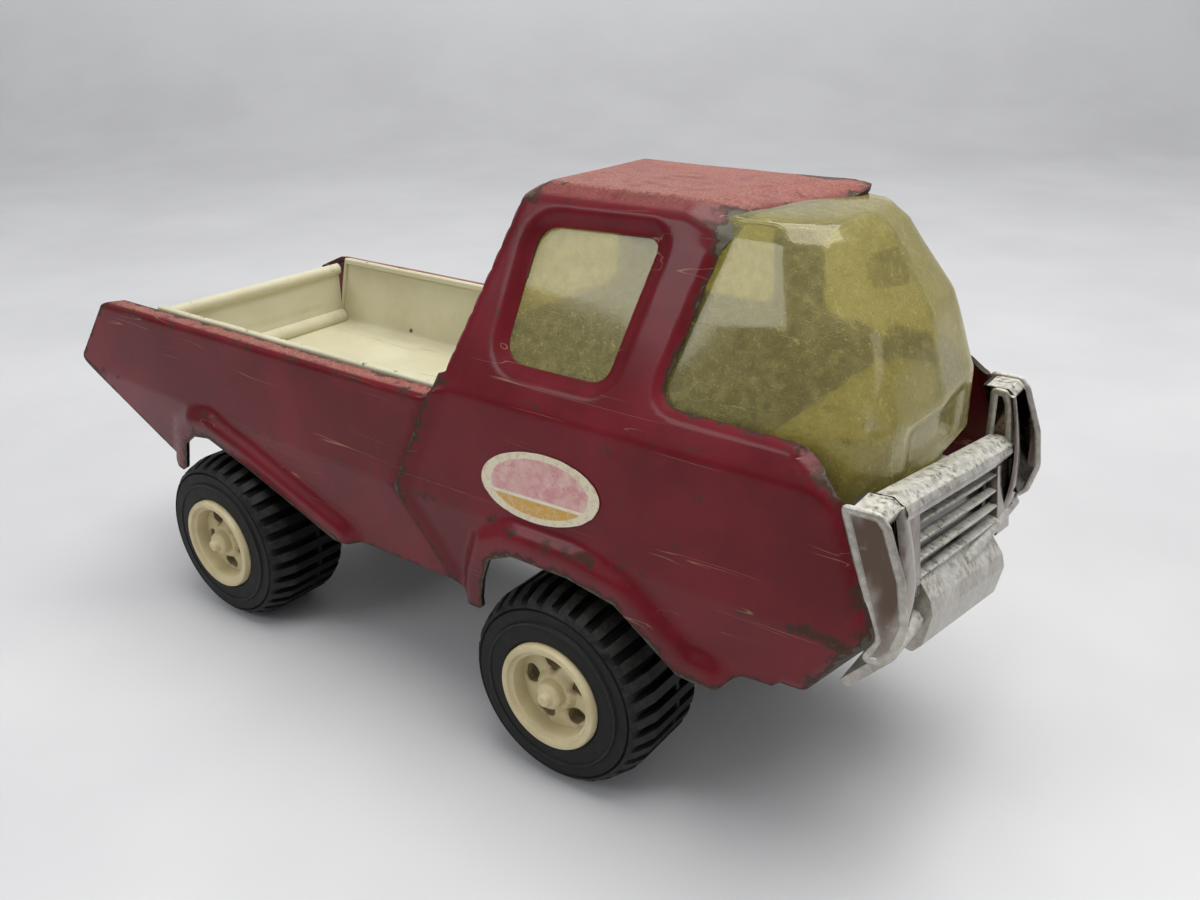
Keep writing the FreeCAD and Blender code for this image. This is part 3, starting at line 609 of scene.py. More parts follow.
def moulded_plastic(name, light, dark, smudge):
    """Plain moulded plastic with soft mottling and grime."""
    n = Nodes(name)
    fine = n.noise(2.0, 5, 0.7)
    colour = n.mottled(12, 4, dark, light)
    grime = n.ramp(n.noise(9, 4, 0.7, turn=(0, 0, 30)), 0.58, 0.66)
    colour = n.mix(grime * 0.8, colour, smudge)
    return n.principled(Base_Color=colour, Roughness=fine * 0.2 + 0.45, Normal=n.bump(fine, 0.2, 0.0001))


def bare_steel():
    """Dull zinc-grey steel with brown rust bloom."""
    n = Nodes("bare_steel")
    fine, rust = n.noise(1.6, 6, 0.7), n.ramp(n.noise(7, 6, 0.7), 0.5, 0.66)
    colour = n.mix(fine, (0.33, 0.32, 0.30), (0.52, 0.51, 0.48))
    colour = n.mix(rust * 0.8, colour, (0.17, 0.075, 0.035))
    return n.principled(Base_Color=colour, Metallic=1.0 - rust, Roughness=rust * 0.4 + 0.34,
                        Normal=n.bump(fine, 0.3, 0.0001))


# --- folded sheet metal ---

class Section:
    """Half cross-section of folded sheet, from its foot up, with its developed length."""

    def __init__(self, points, radii):
        curve = dense(rounded([(y, z, 0) for y, z in points], radii, steps=8), 0.6)
        self.y = np.array([p.x for p in curve])
        self.z = np.array([p.y for p in curve])
        steps = np.hypot(np.diff(self.y), np.diff(self.z))
        self.s = np.concatenate([[0], np.cumsum(steps)])
        self.length = self.s[-1]
        dy, dz = np.gradient(self.y, self.s), np.gradient(self.z, self.s)
        size = np.hypot(dy, dz)
        self.out_y, self.out_z = dz / size, -dy / size

    def at_height(self, z):
        """Developed length at a height on the wall."""
        return float(np.interp(z, self.z, self.s))

    def at_half(self, y):
        """Developed length at a half width on the roof."""
        order = np.argsort(-self.s)
        return float(np.interp(y, self.y[order], self.s[order]))

    def place(self, s):
        return (np.interp(s, self.s, self.y), np.interp(s, self.s, self.z),
                np.interp(s, self.s, self.out_y), np.interp(s, self.s, self.out_z))


def wheel_flare(from_arch):
    """Height of the raised band round a wheel arch: full near the edge, gone 7.6 mm away."""
    height, reach = 2.7, 7.6
    return height * smooth_step((reach - from_arch) / 4.0)


def dents(x, developed, seed):
    """Small handling dents of a pressed panel."""
    return 0.16 * soft_noise(np.column_stack([x, developed]), 17, seed)


def fold_wear(s, folds, width, amount):
    return sum(amount * np.exp(-((s - fold) / width) ** 2) for fold in folds)


# --- cab ---

CAB_SECTION_POINTS = [(36.0, 32.0), (39.9, 55.5), (38.4, 80.5), (36.6, 84.5), (21.6, 117.6),
                      (16.5, 120.0), (0.0, 120.0)]
cab_section = Section(CAB_SECTION_POINTS, [0, 2.2, 3.0, 3.0, 2.4, 1.8, 0])
TAIL_X, BELT_X, EAVE_X, ROOF_BACK_X = 6.8, 18.5, 28.8, 31.0
FRONT_ARCH = [(29.0, 31.0), (29.2, 35.0), (31.0, 41.0), (34.0, 47.3), (40.5, 50.3), (54.5, 50.3),
              (65.5, 48.0), (72.5, 41.9), (78.5, 36.6), (82.5, 36.2)]
SIDE_WINDOW = [(33.6, 88.4), (58.0, 88.4), (59.6, 98.0), (62.2, 112.6), (60.2, 113.8), (35.0, 113.0)]


def cab_side_outline():
    """Developed (x, s) edge of one side, from the roof's front middle round to its rear middle."""
    up = cab_section.at_height
    lip = [(80.5, cab_section.length), (78.5, cab_section.at_half(9)), (76.6, cab_section.at_half(17.5))]
    front = [(75.6, up(117.0)), (69.9, up(87.6)), (99.3, up(87.2)), (107.0, up(80.0)),
             (115.4, up(57.8)), (103.0, up(41.0)), (91.0, up(40.0)), (87.0, up(36.4))]
    arch = [(x, up(z)) for x, z in reversed(FRONT_ARCH)]
    tail = [(25.0, up(32.0)), (18.6, up(36.0)), (TAIL_X, up(55.5)), (BELT_X, up(80.5)),
            (EAVE_X, up(117.6)), (ROOF_BACK_X, cab_section.at_half(16.5)),
            (ROOF_BACK_X, cab_section.length)]
    corner = [0, 3, 2.5] + [2, 4.5, 9, 3, 3, 3, 3, 2] + [2] * len(arch) + [2, 3, 2.5, 5, 3, 1, 0]
    return rounded([(u, v) for u, v in lip + front + arch + tail], corner, steps=6)


def seam_at(z):
    """Where the cab's tail edge stands at a height below the belt."""
    return np.interp(z, [36, 55.5, 80.5], [18.6, TAIL_X, BELT_X])


def rear_edge_at(z):
    """Where the cab's rear edge stands at a height above the belt."""
    return np.interp(z, [80.5, 117.6, 120.0], [BELT_X, EAVE_X, ROOF_BACK_X])


def cab_bump(x, z, s, window, edge, from_arch):
    """Outward offset of the cab's side: wheel flare, window recess, rolled edges and raised tail."""
    flare = np.where(z < 70, wheel_flare(from_arch), 0)
    from_window = distance_to(np.column_stack([x, s]), window, closed=True)
    recess = np.where(z > 82, -1.5 * smooth_step(1 - from_window / 3.4), 0)
    from_rear = np.clip(x - rear_edge_at(z), 0, 9)
    roll = 2.4
    turn = np.sqrt(np.maximum(roll ** 2 - np.maximum(roll - from_rear, 0) ** 2, 0)) - roll
    rolled = np.where(z > 84, turn, 0)
    lifted = np.where(z < 80, 0.9 * smooth_step(1 - (x - seam_at(z)) / 5), 0)
    pillar = np.where((z > 84) & (x > 62), -0.9 * smooth_step(1 - edge / 1.8), 0)
    nose = np.where((z > 40) & (x > 98), -1.3 * smooth_step(1 - edge / 2.6), 0)
    return flare + recess + rolled + pillar + nose + lifted, from_window


def make_cab():
    """Cab skin from one developed sheet over the roof, its front lip bent, with the rear wall."""
    lip_forward, lip_down, lip_rise_to_left = 9.5, 1.2, 0.08
    side = cab_side_outline()
    total = cab_section.length
    whole = side + [Vector((p.x, 2 * total - p.y)) for p in reversed(side)][1:-1]
    near = [(x, cab_section.at_height(z)) for x, z in SIDE_WINDOW]
    hole = rounded(near, [5.5, 4.5, 0, 4.5, 0, 5.5], closed=True)
    far_hole = [Vector((p.x, 2 * total - p.y)) for p in reversed(hole)]
    flat, faces, _ = triangulated(whole, [hole, far_hole], (1.1, 0.9))
    x, developed = flat[:, 0], flat[:, 1]
    left = developed <= total
    s = np.where(left, developed, 2 * total - developed)
    half, z, out_y, out_z = cab_section.place(s)
    edge = distance_to(np.column_stack([x, s]), as_array(side))
    from_arch = distance_to(np.column_stack([x, z]), FRONT_ARCH)
    offset, from_window = cab_bump(x, z, s, as_array(hole), edge, from_arch)
    offset = offset + dents(x, developed, 1)
    y = np.where(left, 1.0, -1.0) * (half + out_y * offset)
    z = z + out_z * offset
    lip = smooth_step((x - 66) / 14) * smooth_step((z - 112) / 6)
    x = x + lip_forward * lip * smooth_step((y + 4) / 20)
    z = z - lip * (lip_down - lip_rise_to_left * y + 0.6 * np.sin(y / 4.4 + 0.8))
    z = np.minimum(z, ROOF_Z)
    folds = [cab_section.at_height(v) for v in (55.5, 82.0, 117.6)] + [cab_section.at_half(16.5)]
    wear = fold_wear(s, folds, 1.5, 0.42) + 0.75 * np.exp(-edge / 1.0) + 0.35 * np.exp(-edge / 5.0)
    wear += 0.5 * np.exp(-from_window / 1.2) + 0.30 * np.exp(-from_arch / 3.0) * (z < 66)
    wear += fold_wear(s, [cab_section.at_height(60)], 9, 0.12)
    nose_rub, rear_chips, lip_chips = (110, None, 52, 110, 0.35), (30, 20, 118, 14, 0.9), (76, 19, 118, 26, 1.3)
    for at_x, at_y, at_z, spread, amount in (nose_rub, rear_chips, lip_chips):
        aside = 0 if at_y is None else (np.abs(y) - at_y) ** 2
        wear += amount * np.exp(-((x - at_x) ** 2 + (z - at_z) ** 2 + aside) / spread)
    skin = thickened("cab_skin", np.column_stack([x, y, z]), faces, -STEEL, wear)
    return joined("cab_pressing", [skin, cab_rear_wall()])


def cab_rear_wall():
    """Sloping rear panel with its window, set between the rolled rear edges of the sides."""
    roll = 2.3
    right = [(float(np.interp(cab_section.at_height(z), cab_section.s, cab_section.y)) - roll, z)
             for z in (79.5, 84.5, 95.0, 106.0, 117.2)] + [(15.5, 118.8)]
    outline = right + [(-y, z) for y, z in reversed(right)]
    window = rounded([(20.5, 91), (12.5, 112), (-12.5, 112), (-20.5, 91)], 4, closed=True)
    flat, faces, loops = triangulated(outline, [window], (1.6, 1.6))
    recess = 1.2 * smooth_step(1 - distance_to(flat, loops[1], closed=True) / 3)
    x = rear_edge_at(flat[:, 1]) + recess
    wear = 0.6 * np.exp(-distance_to(flat, loops[0], closed=True) / 1.2)
    flipped = [face[::-1] for face in faces]
    return thickened("cab_rear", np.column_stack([x, flat]), flipped, STEEL, wear)


# --- bed ---

bed_section = Section([(34.8, 32.9), (38.6, 55.5), (37.3, 77.1), (33.5, 77.8)], [0, 1.6, 1.5, 0])
REAR_ARCH = [(-77.6, 36.5), (-76.0, 39.5), (-73.0, 45.2), (-68.0, 48.5), (-61.5, 49.7), (-48.6, 45.6),
             (-39.5, 41.8), (-28.9, 37.3), (-19.7, 33.0)]


def bed_side(sign):
    """One side of the bed; the far one (sign 1) has its rail's rear end bent down a little."""
    rail_drop, rail_bend_from = 6.5, -91
    up = bed_section.at_height
    top = bed_section.length
    outline = [(20, top), (-100.8, top), (-106.3, up(76.4)), (-119.8, up(57.6)), (-83.8, up(36.9)),
               (-79.5, up(35.4))]
    outline += [(x, up(z)) for x, z in REAR_ARCH] + [(-11.0, up(33.0)), (20, up(33.0))]
    radii = [0, 1, 1.5, 2, 3, 1] + [2.5] * len(REAR_ARCH) + [2, 0]
    flat, faces, loops = triangulated(rounded(outline, radii, closed=True), [], (1.6, 0.9))
    x, s = flat[:, 0], flat[:, 1]
    half, z, out_y, out_z = bed_section.place(s)
    from_arch = distance_to(np.column_stack([x, z]), REAR_ARCH)
    seam = seam_at(z)
    offset = np.where(z < 66, wheel_flare(from_arch), 0) + 0.2 * soft_noise(flat, 22, 3 + sign)
    offset = offset - 1.2 * smooth_step(1 - np.abs(x - seam) / 3.0)
    fall = np.interp(z, [33, 55.5, 76], [0, 1, 0])
    z = z + out_z * offset + fall * np.interp(x, [-120, 10], [2.2, -1.6])
    y = sign * (half + out_y * offset)
    edge = distance_to(flat, loops[0], closed=True)
    wear = fold_wear(s, [up(55.5), up(76.6)], 1.6, 0.5) + 0.7 * np.exp(-edge / 1.1)
    wear += 0.3 * np.exp(-edge / 6.0) + 0.30 * np.exp(-from_arch / 3.0) * (z < 66)
    # Painted shadow: a dark line on the bed side just behind the cab's tail edge, where the seam's gap is in
    # shade.
    wear += fold_wear(x, [seam - 0.6], 1.6, 1.3)
    if sign > 0:
        bend = np.clip((rail_bend_from - x) / 15, 0, 1) * np.clip((z - 57) / 20, 0, 1)
        z = z - rail_drop * bend
    else:
        faces = [face[::-1] for face in faces]
    return thickened("bed_side", np.column_stack([x, y, z]), faces, -STEEL, wear)


def make_bed():
    """Bed sides with the deck between them."""
    half, deck_z = 36.6, 55.4
    deck = rectangle(GATE_PIN.x - 2.5, -half, 19.8, half)
    flat, faces, loops = triangulated(deck, [], (4, 4))
    wear = 0.6 * np.exp(-distance_to(flat, loops[0], closed=True) / 1.5)
    vertices = np.column_stack([flat, deck_z + dents(flat[:, 0], flat[:, 1], 9)])
    panel = thickened("bed_deck", vertices, faces, STEEL, wear)
    return joined("bed_pressing", [bed_side(1), bed_side(-1), panel])


def make_liner():
    """Cream liner: one folded U with rolled tops, and a front wall with a hem."""
    wall, floor_z, top_z, front_x = LINER_HIGH.y, 57.0, LINER_HIGH.z, LINER_HIGH.x
    fold = [(wall - 2.0, top_z - 1.6), (wall - 1.9, top_z - 0.2), (wall - 0.1, top_z - 0.1),
            (wall - 0.7, floor_z + 0.2), (0.0, floor_z - 0.1)]
    half = dense(rounded(fold, [0, 0.6, 0.8, 2.2, 0], steps=6), 2.0)
    ring = list(half) + [Vector((-p.x, p.y)) for p in reversed(half)][1:]
    vertices, faces = grid_surface([[(x, p.x, p.y) for p in ring]
                                    for x in np.arange(GATE_PIN.x - 2.0, front_x - 0.6, 2.0)])
    vertices = np.array(vertices)
    behind = vertices[:, 0] < LINER_LOW.x + 5.2
    lowered = np.minimum(vertices[:, 2], 61.3 + 4.5 * np.clip(vertices[:, 0] - GATE_PIN.x, 0, 9))
    vertices[:, 2] = np.where(behind, lowered, vertices[:, 2])
    waves = soft_noise(vertices, 13, 5)
    vertices[:, 2] += np.where(np.abs(vertices[:, 1]) < wall - 3, 0.22 * waves, 0)
    vertices[:, 1] += np.where(vertices[:, 2] > floor_z + 3, 0.25 * waves, 0)
    x, y, z = vertices.T
    wear = 0.65 * np.exp(-np.abs(z - top_z) / 0.8) + 0.5 * np.exp(-(x - GATE_PIN.x) / 2.5) + 0.1
    # Painted shade: a dark spot low on the far wall stands for the shade inside a rivet hole.
    far_hole_shade = (x + 60.8) ** 2 + (z - 59.8) ** 2
    wear += 1.5 * np.exp(-far_hole_shade / 1.8) * (y > wall - 3)
    tray = thickened("liner_fold", vertices, faces, -THIN_SHEET, wear)
    front = rounded(rectangle(-wall + 1.2, floor_z - 0.2, wall - 1.2, top_z - 0.3), 1.2, closed=True)
    flat, faces, loops = triangulated(front, [], (2.5, 2.5))
    x = front_x - 1.2 + 0.3 * soft_noise(flat, 15, 7)
    wear = 0.6 * np.exp(-distance_to(flat, loops[0], closed=True) / 0.9) + 0.1
    panel = thickened("liner_front", np.column_stack([x, flat]), faces, THIN_SHEET, wear)
    hem = rectangle(front_x - 2.6, top_z - 1.9, front_x - 0.4, top_z - 0.1)
    hem = extruded("liner_front_hem", hem, -wall + 1.4, wall - 1.4, 0.5)
    return joined("bed_liner_sheet", [tray, panel, hem])


def make_tailgate():
    """Tailgate panel with a pressed ridge, a rolled top and the hinge barrel at its foot."""
    half, top, foot, back = GATE_HIGH.y, GATE_HIGH.z, GATE_PIN.z, GATE_PIN.x
    pane = rectangle(-half + 0.3, foot, half - 0.3, top - 1.2)
    flat, faces, loops = triangulated(pane, [], (1.5, 1.0))
    inset = rounded(rectangle(-half + 7, foot + 4.2, half - 7, top - 4.0), 2, closed=True)
    ridge = distance_to(flat, as_array(inset), closed=True)
    bead = 0.25 * smooth_step(1 - ridge / 1.4)
    wear = 0.6 * np.exp(-distance_to(flat, loops[0], closed=True) / 1.0) + 0.12 + 0.4 * bead
    pieces = [thickened("gate_panel", np.column_stack([back + 0.4 - bead, flat]), faces, THIN_SHEET, wear)]
    turns = 20
    for centre_x, centre_z, radius, curl in ((back - 0.2, top - 1.25, 1.15, 1.75), (back, foot, 1.8, 1.85)):
        angles = [math.pi * (0.5 - curl * k / turns) for k in range(turns + 1)]
        rings = [[(centre_x + radius * math.cos(a), y, centre_z + radius * math.sin(a)) for a in angles]
                 for y in np.linspace(-half + 0.15, half - 0.15, 40)]
        vertices, faces = grid_surface(rings)
        pieces.append(thickened("gate_roll", vertices, faces, -0.6, np.full(len(vertices), 0.42)))
    return joined("tailgate_panel", pieces)


# --- windows ---

GLASS_RINGS = [
    # height, then (x, half width) from the rear corner round to the front middle
    (74.0, [(21.5, 34.6), (69.0, 34.6), (97.0, 31.3), (104.4, 28.0), (108.4, 21.0), (109.4, 0.0)]),
    (86.0, [(23.8, 34.2), (69.0, 34.2), (97.0, 30.4), (103.8, 27.2), (108.2, 20.6), (109.7, 0.0)]),
    (102.0, [(27.9, 26.8), (69.0, 26.8), (91.5, 25.5), (98.0, 22.8), (102.4, 17.8), (104.2, 0.0)]),
    (115.0, [(31.0, 20.4), (69.0, 20.4), (86.0, 19.8), (91.4, 17.4), (95.0, 12.4), (96.6, 0.0)]),
    (117.6, [(32.4, 18.6), (69.0, 18.6), (83.6, 18.0), (88.6, 15.8), (91.8, 11.4), (93.4, 0.0)]),
]


def glass_ring(points):
    half = rounded([(x, y, 0) for x, y in points], [5, 0, 5, 4, 5, 0], steps=8)
    rear = [Vector((half[0].x, 0, 0))] + rounded([Vector((half[0].x, half[0].y - 3.5, 0))] + half[:2],
                                                 [0, 3, 0], steps=5)[:-1]
    path = rear + half[1:]
    lengths = np.concatenate([[0], np.cumsum([(b - a).length for a, b in zip(path, path[1:])])])
    marks = np.linspace(0, lengths[-1], 90)
    xs = np.interp(marks, lengths, [p.x for p in path])
    ys = np.interp(marks, lengths, [p.y for p in path])
    return xs, ys


def make_glazing():
    """Faceted clear shell with a sunk panel at its foot, a closed crown and the boss inside it."""
    rings = [glass_ring(points) for _, points in GLASS_RINGS]
    heights = np.array([height for height, _ in GLASS_RINGS])
    levels = list(np.linspace(heights[0], heights[3], 44)) + list(np.linspace(heights[3], heights[4], 6))[1:]
    grid = []
    for level in levels:
        xs, ys = (np.array([np.interp(level, heights, column) for column in np.array(rows).T])
                  for rows in zip(*rings))
        soft = smooth_step(1 - np.abs(level - 100) / 14) * 0.7
        xs = xs + soft * smooth_step((xs - 88) / 8)
        panel = smooth_step((84.5 - level) / 1.2) * smooth_step((level - 75) / 1.0)
        xs = xs - 0.7 * panel * smooth_step((14 - ys) / 1.5) * smooth_step((xs - 100) / 3)
        side = [(x, y, level) for x, y in zip(xs, ys)]
        grid.append(side + [(x, -y, z) for x, y, z in reversed(side)][1:-1])
    top = grid[-1]
    centre_x = 60.0
    for shrink, lift in ((0.93, 0.45), (0.80, 0.75), (0.5, 0.85), (0.04, 0.9)):
        grid.append([(centre_x + (x - centre_x) * shrink, y * shrink, top[0][2] + lift) for x, y, _ in top])
    vertices, faces = grid_surface(grid, close_u=True)
    faces.append(list(range(len(vertices) - len(top), len(vertices))))
    vertices = np.array(vertices)
    vertices[:, 0] += 0.1 * soft_noise(vertices, 12, 11)
    shell = thickened("glazing", vertices, [face[::-1] for face in faces], 1.0, sharp=60)
    boss = [(3.6, 0), (3.3, 4.5), (2.3, 4.6), (2.4, 0.6), (0.01, 0.5), (0.01, 0)]
    boss = revolved("glazing_boss", boss, 40)
    boss.data.transform(moved(97.6, 2.0, 108.4) @ turned(-112, "Y"))
    return joined("window_shell", [shell, boss])


# --- grille ---

def painted_shade_and_sheen(piece, value):
    """Marks a whole plated piece: 1 is painted shade, dark; -1 is painted sheen, chalky and pale."""
    attribute = piece.data.attributes.new("wear", "FLOAT", "POINT")
    attribute.data.foreach_set("value", np.full(len(piece.data.vertices), value, np.float32))
    return piece


def pod_fin(name, outline, low, high, rim):
    """Flat fin of a lamp pod, with a rounded bead round the edge of the face that rim points to, painted pale
    as a painted highlight.
    """
    bead = dense([Vector(p) for p in outline], 1.5, closed=True)
    outer = high if rim > 0 else low

    def ring_at(index):
        along = (bead[(index + 1) % len(bead)] - bead[index - 1]).normalized()
        across = Vector((along.y, -along.x))
        ring = []
        for angle in around(10):
            shifted = bead[index] + across * (0.85 * math.cos(angle))
            ring.append((shifted.x, outer - rim * 0.2 + 0.55 * math.sin(angle), shifted.y))
        return ring

    body = extruded(name, outline, low, high, 0.45)
    vertices, faces = tube_along(len(bead), ring_at, close_v=True)
    # The bead is marked pale: painted highlight along the pod's edge.
    return [body, painted_shade_and_sheen(make_object(name + "_rim", vertices, faces, sharp=50), -0.6)]


def pod_bar(sign, inner, top):
    """Twisted bar that widens down the middle of a lamp pod."""
    def ring_at(k):
        t = k / 30
        z = top - 1.5 - t * (top - 1.5 - 51.6)
        x = 113.3 + 4.4 * math.sin(math.pi * (0.04 + 0.62 * t)) - 1.2 * t
        twist = math.radians(-14 + 18 * t) * sign
        centre = sign * (inner + 0.85 - 0.95 * t)
        ring = []
        for angle in around(16):
            a, b = (1.45 + 2.5 * t) * math.cos(angle), 0.6 * math.sin(angle)
            ring.append((x + a * math.sin(twist) + b * math.cos(twist),
                         centre + a * math.cos(twist) - b * math.sin(twist), z))
        return ring

    vertices, faces = tube_along(31, ring_at)
    faces += [list(range(16)), list(range(len(vertices) - 16, len(vertices)))[::-1]]
    return make_object("pod_bar", vertices, faces, sharp=50)


def sheared(piece, rise, forward=0.0, lift=0.0):
    """Leans a piece: rise lifts it and forward pushes it ahead for each unit along Y."""
    lean = Matrix.Identity(4)
    lean[2][1], lean[0][1], lean[2][3] = rise, forward, lift * MM
    piece.data.transform(lean)
    return piece


def make_grille():
    """Plated moulding: two lamp pods, a slatted middle slumped to the far side, and a skid plate."""
    front, top, half = GRILLE_HIGH.x, GRILLE_HIGH.z, GRILLE_HIGH.y
    inner = half - 8.6
    cheek = rounded([(107.6, top - 0.5), (113.2, top - 0.5), (114.6, top - 2.0), (front - 2.0, 69.0),
                     (front - 0.8, 61.5), (front - 2.2, 55.6), (front - 4.2, 53.6), (113.6, 53.4),
                     (115.2, 57.6)], [0.5, 1.0, 1.5, 5, 4, 2, 1, 0.5, 1], closed=True, steps=4)
    fin = rounded([(110.4, top - 1.2), (112.4, top - 1.2), (113.4, top - 3.2), (114.8, 67.5),
                   (115.6, 60.0), (115.0, 54.0), (113.0, 53.8), (111.0, 60.0)],
                  [0.5, 0.8, 1, 2, 2, 1, 1, 1], closed=True, steps=4)
    lid = rounded([(107.6, top - 0.3), (113.0, top - 0.3), (114.4, top - 1.6), (114.0, top - 3.4),
                   (110.0, top - 2.6)], 0.6, closed=True, steps=3)
    back = [(107.6, top - 0.4), (109.2, top - 0.4), (118.0, 57.4), (116.4, 57.4)]
    foot = [(114.4, 53.5), (front - 3.2, 53.5), (front - 2.6, 55.2), (115.0, 55.0)]
    pods = []
    for sign in (1, -1):
        pods += pod_fin("pod_cheek", cheek, *span(sign, half - 1.5, half - 0.35), sign)
        pods += pod_fin("pod_fin", fin, *span(sign, inner + 0.1, inner + 1.5), -sign)
        low, high = span(sign, inner + 0.8, half - 1.0)
        # pod_back is marked fully dark: painted shade in the slot behind each lamp pod.
        pods += [extruded("pod_lid", lid, low, high, 0.3),
                 painted_shade_and_sheen(extruded("pod_back", back, low, high, 0.2), 1.0),
                 extruded("pod_foot", foot, low, high, 0.4), pod_bar(sign, inner, top)]
    bar = rounded([(109.9, 71.0), (109.9, 74.0), (113.2, 74.2), (114.2, 73.4), (115.2, 73.0),
                   (115.9, 71.6), (115.6, 70.0), (112.4, 69.8)], 0.5, closed=True, steps=3)
    middle = [extruded("grille_bar", bar, -inner - 0.4, inner + 0.4, 0.35)]
    slat_half = inner - 8.0
    for index, z in enumerate((66.8, 63.5, 60.2, 57.0)):
        x = 113.6 + 0.55 * index
        slat = [(x - 0.6, z), (x + 1.0, z - 0.1), (x + 1.4, z + 0.4), (x + 1.2, z + 0.9), (x - 0.6, z + 1.0)]
        middle.append(extruded("grille_slat", slat, -slat_half - 0.4, slat_half + 0.4, 0.25))
    # Painted shade: a dark sheet behind the slats, standing for the shade inside the grille.
    shade = [(111.4, 70.5), (112.0, 70.5), (113.4, 55.0), (112.8, 55.0)]
    middle.append(painted_shade_and_sheen(extruded("grille_backing", shade, -slat_half - 0.2, slat_half + 0.2, 0), 1.0))
    panel = rounded([(112.4, 70.8), (114.8, 70.4), (116.9, 54.2), (114.4, 54.0)], 0.5, closed=True, steps=3)
    for sign in (1, -1):
        middle.append(extruded("grille_panel", panel, *span(sign, slat_half, inner + 0.3), 0.4))
    plate = rounded([(111.0, 56.6), (115.4, 56.8), (118.7, 52.2), (119.4, 49.4), (118.3, 43.0),
                     (116.6, 40.9), (113.4, 41.8), (116.0, 49.6), (113.0, 54.6)],
                    [0.5, 1.0, 1.5, 1.2, 1.5, 0.8, 0.8, 1.5, 1.0], closed=True, steps=4)
    skid = extruded("skid_plate", plate, -21.5, 21.5, 1.1, segments=4)
    # The skid plate is marked paler, as painted sheen.
    middle.append(painted_shade_and_sheen(sheared(skid, -0.07), -0.5))
    middle = sheared(joined("grille_middle", middle), -0.17, 0.02, 0.4)
    skirt = rounded([(110.8, 56.0), (116.6, 55.0), (118.0, 53.4), (110.2, 44.4), (108.4, 45.2),
                     (115.8, 53.8)], [0.4, 1, 1, 0.8, 0.6, 1], closed=True, steps=4)
    # The under skirt is marked pale: painted sheen on its underside.
    skirt = painted_shade_and_sheen(extruded("under_skirt", skirt, -inner - 5.4, inner + 5.4, 0.6), -0.45)
    return joined("grille_plating", pods + [middle, skirt])


# --- cab inside ---

def make_tray():
    """Cab floor sheet with the dash hump on it."""
    floor, top = TRAY_LOW.z + 6.5, TRAY_HIGH.z
    slab = rectangle(TRAY_LOW.x, floor - 1.2, TRAY_HIGH.x, floor)
    dash = rounded([(84, floor - 0.6), (85, top - 5), (88, top), (98, top), (102.5, top - 6),
                    (103.5, floor - 0.6)], [0, 2, 3, 3, 2, 0], closed=True, steps=5)
    return joined("interior_moulding", [
        extruded("tray_floor_sheet", slab, TRAY_LOW.y, TRAY_HIGH.y, 0.4),
        extruded("tray_dash_hump", dash, -26, 26, 1.8, segments=4)])


def make_seat(side):
    """Seat pad and back with three raised ribs."""
    sign = 1 if side == "left" else -1
    back_x, wide_in, wide_out = SEAT_LOW.x, 3.0, 23.5
    floor, top = SEAT_LOW.z, SEAT_HIGH.z
    back = rounded([(wide_in, floor), (wide_in, top - 4), (wide_in + 4, top), (wide_out - 4.5, top),
                    (wide_out - 0.8, top - 4.5), (wide_out, floor)], [0, 3, 4, 4, 3, 0], closed=True, steps=5)
    mirrored = [(sign * p.x, p.y) for p in back]
    pad = rounded([(back_x + 4, floor), (back_x + 4, floor + 7), (SEAT_HIGH.x - 2, floor + 7.8),
                   (SEAT_HIGH.x, floor + 6), (SEAT_HIGH.x, floor)], [0, 1, 2, 2, 0], closed=True, steps=4)
    pieces = [extruded("seat_back", mirrored, back_x, back_x + 5.8, 1.7, axis="x", segments=4),
              extruded("seat_pad", pad, *span(sign, 3.6, 22.9), 1.4, segments=4)]
    for fraction in (0.28, 0.5, 0.72):
        middle = sign * (wide_in + (wide_out - wide_in) * fraction)
        rib = rounded(rectangle(middle - 1.6, floor + 10, middle + 1.6, top - 6), 1.4, closed=True, steps=4)
        pieces.append(extruded("seat_rib", rib, back_x + 5.4, back_x + 5.99, 0.25, axis="x"))
    return joined("seat_moulding_" + side, pieces)


# --- wheels ---

TREAD_BARS = 32
PITCH_STEPS = [0.0, 0.06, 0.28, 0.50, 0.56, 0.62, 0.80, 0.94]
GROOVE = (0.56, 0.94)
HUB_FACE = 45.5


